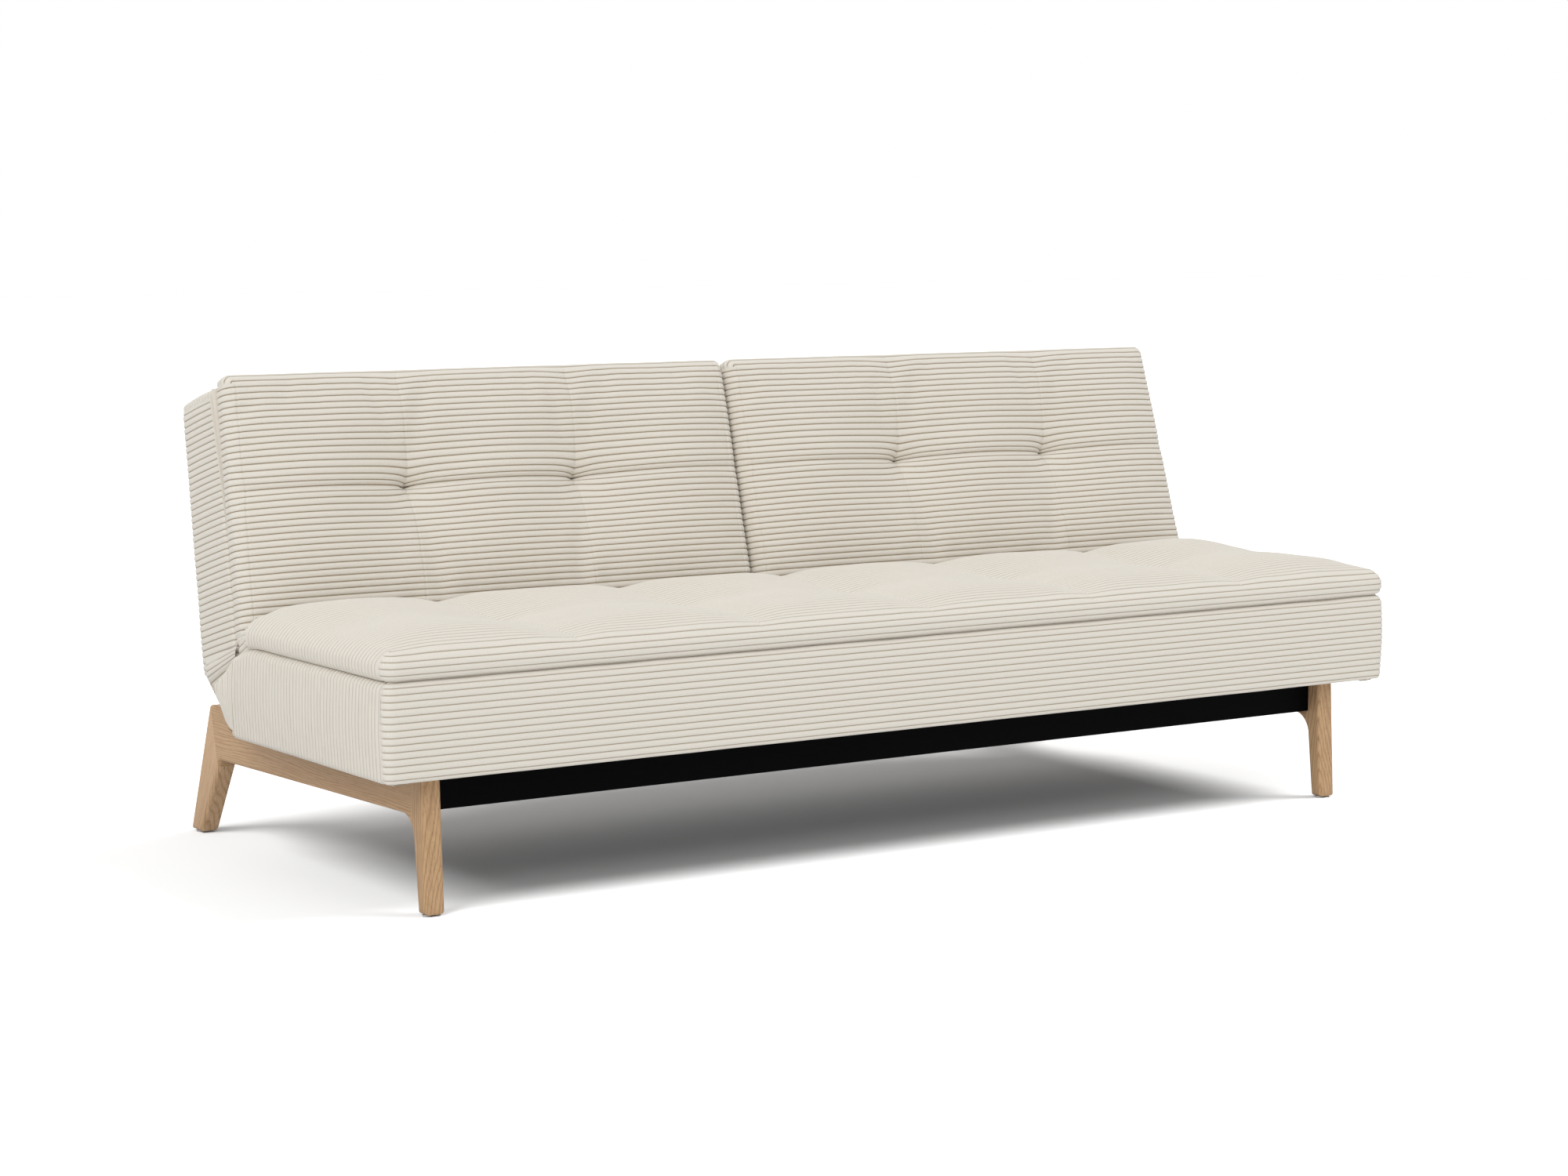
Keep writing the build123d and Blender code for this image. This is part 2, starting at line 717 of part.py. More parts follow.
def bolts(plane, places, grip):
    # Bolts whose heads stand on the plane and whose shanks run back from it
    with BuildPart() as group:
        with BuildSketch(plane):
            with Locations(*places):
                RegularPolygon(bolt_head_radius, 6)
        extrude(amount=bolt_head)
        with BuildSketch(plane):
            with Locations(*places):
                Circle(bolt_radius)
        extrude(amount=-grip)
    return group.part


bracket_grip = plate + tube_wall + bolt_grip
seat_bolt_plane = Plane(
    origin=(0, seat_frame_rear_y + plate, tube_mid_z), x_dir=(1, 0, 0), z_dir=(0, 1, 0)
)
save(bolts(seat_bolt_plane, [(x, 0) for x in seat_bolts], bracket_grip), "seat_bracket_bolts")
back_bolt_plane = Plane(
    back_rise.offset(back_frame_low_u - plate).origin, x_dir=(1, 0, 0), z_dir=-back_plane.y_dir
)
save_pair(bolts(back_bolt_plane, [(x, back_tube_n) for x in back_bolts], bracket_grip), "back_bracket_bolts")


def back_point(u, n):
    return (hinge_y + u * lean_sin - n * lean_cos, hinge_z + u * lean_cos + n * lean_sin)


# Cloth that bridges the seat base and the back half: a sheet behind the hinges and a flap at the end
gusset_u = back_bottom_u - gusset_gap
gusset_y = seat_rear_y + gusset_gap
gusset_n = back_rear_n + back_rear_radius
gusset_end_x = back_outer_x - gusset_end_inset
low = (gusset_y, gusset_low_z)
high = back_point(gusset_u, gusset_n)
inner_high = back_point(gusset_u, gusset_n + gusset)
inner_low = (gusset_y, gusset_low_z + gusset)
flap_high = back_point(gusset_u, back_front_n)
with BuildPart() as hinge_gusset:
    with BuildSketch(Plane.YZ.offset(back_inner_x)):
        with BuildLine():
            Polyline(low, high, inner_high, inner_low, close=True)
        make_face()
    extrude(amount=gusset_end_x - back_inner_x)
    with BuildSketch(Plane.YZ.offset(gusset_end_x - gusset)):
        with BuildLine():
            Polyline(low, high, flap_high, (gusset_y, flap_high[1]), close=True)
        make_face()
    extrude(amount=gusset)
save_pair(hinge_gusset.part, "hinge_gusset")
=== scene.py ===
import json
import math

import bmesh
import bpy
import numpy as np
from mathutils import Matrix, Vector


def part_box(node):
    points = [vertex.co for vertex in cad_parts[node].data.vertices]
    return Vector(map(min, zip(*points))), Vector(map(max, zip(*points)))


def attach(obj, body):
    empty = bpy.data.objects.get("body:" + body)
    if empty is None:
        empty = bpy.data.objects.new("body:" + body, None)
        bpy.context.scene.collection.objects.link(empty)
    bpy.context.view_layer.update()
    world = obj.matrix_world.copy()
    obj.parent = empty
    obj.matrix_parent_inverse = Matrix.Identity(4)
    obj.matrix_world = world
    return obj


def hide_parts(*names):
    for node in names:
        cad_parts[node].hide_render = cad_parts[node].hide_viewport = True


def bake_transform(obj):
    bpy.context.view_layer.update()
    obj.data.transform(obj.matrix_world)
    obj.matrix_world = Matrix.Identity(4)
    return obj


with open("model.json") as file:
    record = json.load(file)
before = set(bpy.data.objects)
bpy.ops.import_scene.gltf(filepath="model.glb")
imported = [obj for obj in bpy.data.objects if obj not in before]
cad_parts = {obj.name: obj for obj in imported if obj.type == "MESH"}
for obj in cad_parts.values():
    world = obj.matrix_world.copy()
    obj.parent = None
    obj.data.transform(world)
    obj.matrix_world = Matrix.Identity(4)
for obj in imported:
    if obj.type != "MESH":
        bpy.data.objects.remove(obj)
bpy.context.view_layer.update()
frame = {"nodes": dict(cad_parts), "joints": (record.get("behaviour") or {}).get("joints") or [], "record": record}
print("frame loaded")

# Corduroy cloth, shared by every upholstered piece
cord = {
    "pitch": 0.0106,  # one wale and its groove
    "height": 0.0020,  # crest above groove
    "steps": (0.0, 0.07, 0.24, 0.5, 0.76, 0.93),  # rows in one wale
    "closest": 0.0004,  # no row is nearer to the end of its panel
    "weld": 0.0003,  # points this near to each other are joined
    "seamDepth": 0.0024,
    "seamWidth": 0.0038,
    "seamStart": (0.5, 1.4),  # where a corner seam sets in, in radii of the rounded edge
    "seamFlat": 0.8,  # how far the wales flatten into a corner seam
    "beside": (-0.0042, -0.0022, -0.0009, 0.0, 0.0009, 0.0022, 0.0042),  # columns at a sewn line
    "besideClear": 1.6,  # how far the even columns keep off it, in its half widths
    "stitchWidth": 0.0013,
    "edgeSteps": 8,  # points round an upper edge, a lower edge and a corner
    "footSteps": 6,
    "cornerSteps": 7,
    "underGap": 0.0005,  # from the lower edge up to the panel that closes it
    "wobble": 0.0004,  # slow unevenness of the stuffing
    "waves": 8,
    "waveLengths": (0.07, 0.32),
    "sideWobble": 0.25,  # share of it on the sides
}


def smooth(edge0, edge1, value):
    t = np.clip((value - edge0) / (edge1 - edge0), 0, 1)
    return t * t * (3 - 2 * t)


def bell(distance, reach):
    return np.exp(-((distance / reach) ** 2))


def wobble(x, y, seed):
    # Slow waves in fixed directions, so that every run gives the same cloth
    chance = np.random.default_rng(seed)
    total = np.zeros(np.broadcast(x, y).shape)
    for _ in range(cord["waves"]):
        angle = chance.uniform(0, math.pi)
        wave = 2 * math.pi / chance.uniform(*cord["waveLengths"])
        phase = chance.uniform(0, 6.28)
        total = total + np.sin(wave * (x * math.cos(angle) + y * math.sin(angle)) + phase)
    return total * cord["wobble"] / 2


def waleRows(start, end):
    pitch, near = cord["pitch"], cord["closest"]
    count = np.arange(math.floor(start / pitch), math.ceil(end / pitch) + 1)
    rows = ((count[:, None] + np.array(cord["steps"])) * pitch).ravel()
    rows = rows[(rows > start + near) & (rows < end - near)]
    return np.concatenate([[start], rows, [end]])


def waleShape(across):
    part = (across / cord["pitch"]) % 1.0
    return np.sqrt(np.clip(1 - (2 * part - 1) ** 2, 0, 1))


def normalsOf(points):
    alongRows = np.gradient(points, axis=0)
    alongCols = np.gradient(points, axis=1)
    normal = np.cross(alongCols, alongRows)
    size = np.linalg.norm(normal, axis=2, keepdims=True)
    return normal / np.maximum(size, 1e-12)


def gridFaces(rows, cols):
    index = np.arange(rows * cols).reshape(rows, cols)
    corners = [index[:-1, :-1], index[:-1, 1:], index[1:, 1:], index[1:, :-1]]
    return np.stack(corners, axis=-1).reshape(-1, 4)


def newCloth():
    return {"verts": [], "faces": [], "wale": [], "along": [], "count": 0}


def addPanel(cloth, points, across, along, sink, ribbed=1.0):
    # Grid of points with rows across the wales; sink is a depth below the surface
    rows, cols = points.shape[:2]
    wale = waleShape(across) * np.ones((rows, cols))
    offset = cord["height"] * (wale - 1) * ribbed - sink
    shaped = points + normalsOf(points) * offset[:, :, None]
    place = np.stack(np.broadcast_arrays(along, across, 0.0 * wale), axis=-1)
    cloth["verts"].append(shaped.reshape(-1, 3))
    cloth["faces"].append(gridFaces(rows, cols) + cloth["count"])
    # The wale attribute is also the mask of the painted groove shade, which fades out where the wales flatten at a
    # seam
    cloth["wale"].append((wale * ribbed + (1 - ribbed)).ravel())
    cloth["along"].append(place.reshape(-1, 3))
    cloth["count"] += rows * cols


def clothObject(name, cloth, place, material, flip=False):
    # Place turns the piece's own axes into the shared frame
    local = np.concatenate(cloth["verts"])
    origin, axes = place
    world = np.array(origin) + local @ np.array(axes)
    faces = np.concatenate(cloth["faces"])
    if flip:
        faces = faces[:, ::-1]
    mesh = bpy.data.meshes.new(name)
    mesh.from_pydata(world.tolist(), [], faces.tolist())
    waleAttr = mesh.attributes.new("wale", "FLOAT", "POINT")
    waleAttr.data.foreach_set("value", np.concatenate(cloth["wale"]).astype(np.float32))
    alongAttr = mesh.attributes.new("cloth", "FLOAT_VECTOR", "POINT")
    alongAttr.data.foreach_set("vector", np.concatenate(cloth["along"]).astype(np.float32).ravel())
    work = bmesh.new()
    work.from_mesh(mesh)
    bmesh.ops.remove_doubles(work, verts=work.verts, dist=cord["weld"])
    work.to_mesh(mesh)
    work.free()
    mesh.polygons.foreach_set("use_smooth", np.ones(len(mesh.polygons), dtype=bool))
    mesh.materials.append(material)
    piece = bpy.data.objects.new(name, mesh)
    bpy.context.scene.collection.objects.link(piece)
    return piece


def sideProfile(form, q):
    # Way out and way down from the start of the rounded edge, at a distance q along the cloth
    height = form["top"] - form["low"]
    edge, foot = form["edge"], form["foot"]
    upright = height - edge - foot
    q1 = edge * math.pi / 2
    q2 = q1 + upright
    q3 = q2 + foot * math.pi / 2
    a = np.clip(q / edge, 0, math.pi / 2)
    b = np.clip((q - q2) / foot, 0, math.pi / 2)
    straight = np.clip(q - q1, 0, upright)
    under = np.maximum(q - q3, 0)
    bulge = form["bow"] * np.sin(math.pi * np.clip(q / q3, 0, 1)) ** 1.5
    out = edge * np.sin(a) + bulge - foot * (1 - np.cos(b)) - under
    down = edge * (1 - np.cos(a)) + straight + foot * np.sin(b)
    return out, down, q1, q2, q3


def sideSteps(form):
    _, _, q1, q2, q3 = sideProfile(form, np.array([0.0]))
    arc = np.linspace(0, q1, cord["edgeSteps"])[:-1]
    upright = np.linspace(q1, q2, max(3, int((q2 - q1) / form["step"])))[:-1]
    foot = np.linspace(q2, q3, cord["footSteps"])[:-1]
    return np.concatenate([arc, upright, foot, [q3, q3 + form["tuck"]]])


def coreColumns(form, y):
    # Shares of the way across the main face: even columns, closer together beside each sewn line
    edge = form["edge"]
    x0, x1 = form["x0"](y), form["x1"](y)
    span = x1 - x0 - 2 * edge
    shares = np.linspace(0, 1, max(3, int(span / form["core"])))
    for seam in form["seams"]:
        if 0 < seam < 1:
            middle = ((x1 - x0) * seam - edge) / span
        else:  # beside the rounded edge
            middle = abs(seam - form["stitch"] / span)
        beside = middle + np.array(cord["beside"]) / span
        reach = cord["besideClear"] * max(cord["beside"]) / span
        shares = np.concatenate([shares[np.abs(shares - middle) > reach], beside])
        shares = np.concatenate([[0], shares[(shares > 0) & (shares < 1)], [1]])
    return np.unique(shares)


def boxCushion(form, relief):
    # Stuffed box: one main face whose wales run over both ends, a border before and behind it
    cloth = newCloth()
    edge = form["edge"]
    y0, y1 = form["y0"] + edge, form["y1"] - edge

    def finished(nearSeam, reach, hold, ripple):
        # Depth below the surface, and how far the wales stand up
        seam = smooth(edge * cord["seamStart"][0], edge * cord["seamStart"][1], reach)
        rippled = cord["sideWobble"] + (1 - cord["sideWobble"]) * hold
        sink = cord["seamDepth"] * nearSeam * seam - ripple * rippled
        return sink, form["rib"] - cord["seamFlat"] * nearSeam * smooth(0, edge, reach)

    q = sideSteps(form)
    out, down = sideProfile(form, q)[:2]
    rows = waleRows(y0, y1)
    core = coreColumns(form, y0)
    left = (form["x0"](rows) + edge)[:, None]
    right = (form["x1"](rows) - edge)[:, None]
    face = left + core[None, 1:-1] * (right - left)
    xs = np.concatenate([left - out[None, ::-1], face, right + out[None, :]], axis=1)
    flat = np.zeros(len(core) - 2)
    drop = np.concatenate([down[::-1], flat, down])[None, :]
    reach = np.concatenate([q[::-1], flat, q])[None, :]
    ys = np.broadcast_to(rows[:, None], xs.shape)
    moveX, moveY, rise = relief(xs, ys)
    hold = 1 - smooth(0, form["fade"], reach)
    height = form["top"] + rise * hold - drop - form["droop"](ys) * (1 - hold)
    top = np.stack([xs + moveX * hold, ys + moveY * hold, height], axis=-1)
    seamFront, seamRear = form["cornerSeams"]
    nearSeam = bell(np.minimum((ys - y0) / seamFront, (y1 - ys) / seamRear), cord["seamWidth"])
    sink, ribbed = finished(nearSeam, reach, hold, wobble(xs + reach, ys, form["seed"]))
    addPanel(cloth, top, rows[:, None], xs, sink, ribbed)

    turn = np.linspace(math.pi / 2, 0, cord["cornerSteps"])
    opening, closing = turn[:-1], turn[::-1][1:]
    for start, way, strength in ((y0, -1, seamFront), (y1, 1, seamRear)):
        if way > 0:
            across = waleRows(start, start + q[-1])
        else:
            across = waleRows(start - q[-1], start)[::-1]
        qs = np.abs(across - start)[:, None]
        outs, downs = sideProfile(form, qs)[:2]
        x0, x1 = form["x0"](start) + edge, form["x1"](start) - edge
        straight = (x0 + core * (x1 - x0))[None, :] * np.ones(qs.shape)
        corners = x0 - outs * np.sin(opening), x1 + outs * np.sin(closing)
        xb = np.concatenate([corners[0], straight, corners[1]], axis=1)
        lean = np.concatenate([np.cos(opening), np.ones(len(core)), np.cos(closing)])
        yb = start + way * outs * lean
        moveX, moveY, rise = relief(xb, yb)
        hold = 1 - smooth(0, form["fade"], qs)
        height = form["top"] + rise * hold - downs - form["droop"](yb) * (1 - hold)
        border = np.stack([xb + moveX * hold, yb + moveY * hold, height], axis=-1)
        swing = np.concatenate([opening, np.zeros(len(core)), closing])[None, :]
        nearSeam = bell((math.pi / 2 - swing) * edge / strength, cord["seamWidth"])
        ripple = wobble(xb, yb + way * qs, form["seed"])
        sink, ribbed = finished(nearSeam, qs, hold, ripple)
        order = slice(None, None, way)
        addPanel(cloth, border[order], across[order, None], xb[order], sink[order], ribbed[order])

    if form["closed"]:
        span = np.linspace(0, 1, 3)
        width = form["x1"](y0) - form["x0"](y0) - 2 * edge
        floorX = (form["x0"](y0) + edge + span[None, :] * width) * np.ones((3, 1))
        floorY = (y1 + span[:, None] * (y0 - y1)) * np.ones((1, 3))
        floorZ = np.full((3, 3), form["low"] + cord["underGap"])
        under = np.stack([floorX, floorY, floorZ], axis=-1)
        addPanel(cloth, under, np.full((3, 1), cord["pitch"] / 2), 0.0, 0.0)
    return cloth


def node(material, kind, **settings):
    made = material.node_tree.nodes.new(kind)
    for name, value in settings.items():
        setattr(made, name, value)
    return made


def feed(material, made, values):
    # Numbers and colours are set on the node's own sockets, and other nodes' outputs are linked
    for name, value in values.items():
        socket = made.inputs[name]
        if isinstance(value, bpy.types.NodeSocket):
            material.node_tree.links.new(value, socket)
        else:
            socket.default_value = (*value, 1) if socket.type == "RGBA" else value


def newMaterial(name):
    material = bpy.data.materials.new(name)
    material.use_nodes = True
    return material, material.node_tree.nodes["Principled BSDF"]


def ramp(material, source, stops):
    made = node(material, "ShaderNodeValToRGB")
    while len(made.color_ramp.elements) < len(stops):
        made.color_ramp.elements.new(0.5)
    for element, (place, colour) in zip(made.color_ramp.elements, stops):
        element.position = place
        element.color = (*colour, 1)
    feed(material, made, {"Fac": source})
    return made.outputs["Color"]


def noise(material, vector, scale, detail, rough):
    made = node(material, "ShaderNodeTexNoise")
    feed(material, made, {"Vector": vector, "Scale": scale, "Detail": detail, "Roughness": rough})
    return made.outputs["Fac"]


def stretched(material, vector, scale):
    made = node(material, "ShaderNodeMapping")
    feed(material, made, {"Vector": vector, "Scale": scale})
    return made.outputs["Vector"]


def mixColour(material, factor, first, second, mode="MIX"):
    made = node(material, "ShaderNodeMix", data_type="RGBA", blend_type=mode)
    feed(material, made, {"Factor": factor, "A": first, "B": second})
    return made.outputs["Result"]


def bump(material, height, strength, distance):
    made = node(material, "ShaderNodeBump")
    feed(material, made, {"Height": height, "Strength": strength, "Distance": distance})
    return made.outputs["Normal"]


white = (1.0, 1.0, 1.0)
corduroyLook = {
    "crest": (0.806, 0.762, 0.686),
    # Painted shade: the grooves between the wales and the lower flanks are coloured darker, standing in for the
    # shade that falls into them
    "grooveShade": (0.34, 0.262, 0.160),
    "middle": 0.35,  # share of the painted groove shade on the flank of a wale
    "stops": (0.0, 0.42, 0.72),  # heights on the wale of groove, flank and crest
    "felt": (520, 900, 1),  # fineness of the nap along and across
    "fleck": (0.80, 0.79, 0.77),
    "fleckStops": (0.30, 0.62),
    "speckle": 0.5,
    "napBump": (0.5, 0.0006),
    "roughness": 0.95,
    "shine": 0.2,
    "sheen": 0.25,
    "sheenRoughness": 0.5,
}


def corduroyMaterial():
    look = corduroyLook
    material, shader = newMaterial("corduroy")
    wale = node(material, "ShaderNodeAttribute", attribute_name="wale").outputs["Fac"]
    cloth = node(material, "ShaderNodeAttribute", attribute_name="cloth").outputs["Vector"]
    part = look["middle"]
    middle = tuple(part * g + (1 - part) * c for g, c in zip(look["grooveShade"], look["crest"]))
    shades = (look["grooveShade"], middle, look["crest"])
    # Painted shade: the colour darkens from crest to groove, following the wale attribute
    colour = ramp(material, wale, tuple(zip(look["stops"], shades)))
    felt = noise(material, stretched(material, cloth, look["felt"]), 1.0, 2.0, 0.6)
    speck = ramp(material, felt, tuple(zip(look["fleckStops"], (look["fleck"], white))))
    colour = mixColour(material, look["speckle"], colour, speck, "MULTIPLY")
    surface = {
        "Base Color": colour,
        "Roughness": look["roughness"],
        "Specular IOR Level": look["shine"],
        "Sheen Weight": look["sheen"],
        "Sheen Roughness": look["sheenRoughness"],
        "Normal": bump(material, felt, *look["napBump"]),
    }
    feed(material, shader, surface)
    return material


oakLook = {
    "light": (0.592, 0.386, 0.218),
    "dark": (0.325, 0.180, 0.080),
    "early": 0.45,  # share of dark in the wood grown in spring
    "rings": 230,  # growth rings in a metre
    "ringStops": (0.0, 0.18, 0.62, 0.92, 1.0),
    "waver": 7.6,  # how much the rings wander
    "waverScale": (22, 22, 3),
    "tilt": 0.035,  # of the pith against the board
    "contrast": 0.62,
    "fibres": 0.95,
    "fibreScale": (420, 420, 9),
    "fibreStops": ((0.32, (0.80, 0.77, 0.73)), (0.60, (1.0, 1.0, 1.0))),
    "pores": 0.72,
    "poreScale": (1100, 1100, 30),
    "poreStops": ((0.33, (0.62, 0.56, 0.50)), (0.43, (1.0, 1.0, 1.0))),
    "poreBump": (0.10, 0.0005),
    "toneScale": (10, 10, 2),
    "toneStops": ((0.3, (0.90, 0.89, 0.87)), (0.7, (1.05, 1.04, 1.03))),
    "roughness": 0.55,
    "shine": 0.3,
}


def maths(material, operation, first, second=0.0):
    made = node(material, "ShaderNodeMath", operation=operation)
    feed(material, made, {0: first, 1: second})
    return made.outputs[0]


def oakMaterial(name, level, lean, pith, paintedLight=(1.0, 1.0, 1.0)):
    # Boards cut beside the pith: rings about a slightly tilted line, fibres and pores along it
    look = oakLook
    material, shader = newMaterial(name)
    split = node(material, "ShaderNodeSeparateXYZ")
    feed(material, split, {0: node(material, "ShaderNodeTexCoord").outputs["Object"]})
    x, y, z = split.outputs
    along, other = (y, z) if level else (z, y)
    across = maths(material, "ABSOLUTE", x)
    other = maths(material, "ADD", other, maths(material, "MULTIPLY", along, lean))
    grain = node(material, "ShaderNodeCombineXYZ")
    feed(material, grain, {"X": across, "Y": other, "Z": along})

    def grown(scale, detail, rough):
        place = stretched(material, grain.outputs[0], look[scale])
        return noise(material, place, 1.0, detail, rough)

    tilted = maths(material, "MULTIPLY", along, look["tilt"])
    offX = maths(material, "ADD", maths(material, "SUBTRACT", across, pith[0]), tilted)
    offY = maths(material, "SUBTRACT", other, pith[1])
    squares = [maths(material, "MULTIPLY", off, off) for off in (offX, offY)]
    away = maths(material, "SQRT", maths(material, "ADD", *squares))
    wander = maths(material, "MULTIPLY", grown("waverScale", 2.0, 0.5), look["waver"])
    turns = maths(material, "ADD", maths(material, "MULTIPLY", away, look["rings"]), wander)
    ring = maths(material, "FRACT", turns)
    # Painted light: paintedLight lightens and pales the whole board, standing in for the stronger light on the
    # rear legs
    light = tuple(c * t for c, t in zip(look["light"], paintedLight))
    dark = tuple(c * t for c, t in zip(look["dark"], paintedLight))
    early = tuple(look["early"] * d + (1 - look["early"]) * b for d, b in zip(dark, light))
    bands = ramp(material, ring, tuple(zip(look["ringStops"], (early, light, light, dark, early))))
    fibres = ramp(material, grown("fibreScale", 3.0, 0.6), look["fibreStops"])
    pore = grown("poreScale", 2.0, 0.5)
    pores = ramp(material, pore, look["poreStops"])
    tones = ramp(material, grown("toneScale", 1.0, 0.5), look["toneStops"])
    colour = mixColour(material, look["contrast"], light, bands)
    colour = mixColour(material, look["fibres"], colour, fibres, "MULTIPLY")
    colour = mixColour(material, look["pores"], colour, pores, "MULTIPLY")
    colour = mixColour(material, 1.0, colour, tones, "MULTIPLY")
    surface = {
        "Base Color": colour,
        "Roughness": look["roughness"],
        "Specular IOR Level": look["shine"],
        "Normal": bump(material, pore, *look["poreBump"]),
    }
    feed(material, shader, surface)
    return material


def plainMaterial(name, colour, roughness, metallic=0.0, grain=0, grainDepth=0.0, shine=0.5):
    material, shader = newMaterial(name)
    surface = {"Base Color": colour, "Roughness": roughness, "Metallic": metallic}
    surface["Specular IOR Level"] = shine
    if grain:
        place = node(material, "ShaderNodeTexCoord").outputs["Object"]
        speck = noise(material, place, grain, 2.0, 0.5)
        surface["Normal"] = bump(material, speck, grainDepth, 0.0005)
    feed(material, shader, surface)
    return material


corduroy = corduroyMaterial()
oakFront = oakMaterial("oakFront", False, 0.05, (0.930, -0.345))
# The rear legs get a lighter, paler copy of the oak: painted light
oakRearPaintedLight = oakMaterial("oakRearPaintedLight", False, 0.43, (0.945, 0.50), (1.18, 1.22, 1.30))
oakRail = oakMaterial("oakRail", True, 0.0, (0.935, 0.10))
finishes = {
    "black_steel": plainMaterial(
        "blackSteel", (0.0015, 0.0015, 0.0017), 0.55, grain=900, grainDepth=0.08, shine=0.02
    ),
    "frame_steel": plainMaterial(
        "frameSteel", (0.05, 0.05, 0.055), 0.55, grain=900, grainDepth=0.1
    ),
    "spring_steel": plainMaterial("springSteel", (0.36, 0.36, 0.38), 0.35, metallic=1.0),
    "zinc_steel": plainMaterial(
        "zincSteel", (0.55, 0.56, 0.58), 0.38, metallic=1.0, grain=500, grainDepth=0.08
    ),
    "glide_plastic": plainMaterial("glidePlastic", (0.50, 0.48, 0.45), 0.55),
    "black_cloth": plainMaterial(
        "blackCloth", (0.012, 0.012, 0.013), 0.95, grain=1500, grainDepth=0.5
    ),
}
slotOf = {row["node"]: row["material_slot"] for row in frame["record"]["subparts"]}
for name, piece in frame["nodes"].items():
    if slotOf[name] == "oak":
        finish = oakRail if name.endswith("rail") else oakFront if "front" in name else oakRearPaintedLight
    else:
        finish = finishes.get(slotOf[name], corduroy)
    for place in piece.material_slots:
        place.material = finish
print("materials made")

# Stuffing of the pads: a sheet of cloth held along its seams and blown up from below
stuffing = {
    "step": 0.010,  # side of one square of the simulated sheet
    "stretch": 15,
    "shear": 5,
    "bend": 5.0,
    "mass": 0.2,
    "quality": 6,
    "pressure": 4,
    "slack": 0.005,  # share of spare cloth
    "frames": 20,
    "quickLift": 0.022,
}


def stuffedFace(width, depth, drawn, held):
    # Moves of a grid of points across a pad's face: drawn is where the held points are pulled to
    cols, rows = round(width / stuffing["step"]) + 1, round(depth / stuffing["step"]) + 1
    x, y = np.meshgrid(np.linspace(0, width, cols), np.linspace(0, depth, rows))
    flat = np.stack([x, y, 0 * x], axis=-1)
    pulled = np.stack(drawn(x, y), axis=-1)
    mesh = bpy.data.meshes.new("stuffing")
    mesh.from_pydata(flat.reshape(-1, 3).tolist(), [], gridFaces(rows, cols).tolist())
    sheet = bpy.data.objects.new("stuffing", mesh)
    bpy.context.scene.collection.objects.link(sheet)
    cut = sheet.shape_key_add(name="cut", from_mix=False)
    tied = sheet.shape_key_add(name="tied", from_mix=False)
    tied.data.foreach_set("co", (flat + pulled).ravel())
    tied.value = 1.0
    near = stuffing["step"] / 100
    border = (x < near) | (x > width - near) | (y < near) | (y > depth - near)
    weights = np.maximum(held(x, y), border).ravel()
    group = sheet.vertex_groups.new(name="held")
    for i in np.nonzero(weights > 0.01)[0]:
        group.add([int(i)], float(weights[i]), "REPLACE")
    cloth = sheet.modifiers.new("cloth", "CLOTH")
    settings = cloth.settings
    settings.quality = stuffing["quality"]
    settings.mass = stuffing["mass"]
    settings.tension_stiffness = stuffing["stretch"]
    settings.compression_stiffness = stuffing["stretch"]
    settings.shear_stiffness = stuffing["shear"]
    settings.bending_stiffness = stuffing["bend"]
    settings.use_pressure = True
    settings.uniform_pressure_force = stuffing["pressure"]
    settings.shrink_min = -stuffing["slack"]
    settings.vertex_group_mass = "held"
    settings.rest_shape_key = cut
    settings.effector_weights.gravity = 0
    cloth.collision_settings.use_collision = False
    cloth.point_cache.frame_end = stuffing["frames"]
    for moment in range(1, stuffing["frames"] + 1):
        bpy.context.scene.frame_set(moment)
    blown = np.zeros(flat.size, dtype=np.float32)
    done = sheet.evaluated_get(bpy.context.evaluated_depsgraph_get())
    done.data.vertices.foreach_get("co", blown)
    bpy.data.objects.remove(sheet)
    bpy.data.meshes.remove(mesh)
    bpy.context.scene.frame_set(1)
    return blown.reshape(flat.shape).astype(float) - flat


def sampled(grid, across, up):
    # Smooth value of the grid at shares of its width and depth, by cubic B-splines
    across, up = np.broadcast_arrays(across, up)
    total = 0
    weights, places = [], []
    for share, count in ((up, grid.shape[0]), (across, grid.shape[1])):
        place = np.clip(share, 0, 1) * (count - 1)
        first = np.minimum(np.floor(place), count - 2).astype(int)
        t = place - first
        inner = (3 * t**3 - 6 * t**2 + 4) / 6, (1 + 3 * t + 3 * t**2 - 3 * t**3) / 6
        weights.append(((1 - t) ** 3 / 6, *inner, t**3 / 6))
        places.append([np.clip(first + k, 0, count - 1) for k in (-1, 0, 1, 2)])
    for wy, iy in zip(weights[0], places[0]):
        for wx, ix in zip(weights[1], places[1]):
            total = total + (wy * wx)[..., None] * grid[iy, ix]
    return total


def crowned(grid, crown, fullness=1.0, evened=0):
    # Settles how far the stuffing lifts the cloth, and evens out small wrinkles
    grid = grid.copy()
    for _ in range(evened):
        grid[1:-1] = (grid[:-2] + 2 * grid[1:-1] + grid[2:]) / 4
        grid[:, 1:-1] = (grid[:, :-2] + 2 * grid[:, 1:-1] + grid[:, 2:]) / 4
    lift = grid[:, :, 2]
    print("stuffing lifts the cloth by", round(float(lift.max()) * 1000, 1), "mm")
    grid[:, :, 2] = np.where(lift > 0, crown * (np.maximum(lift, 0) / lift.max()) ** fullness, lift)
    return grid


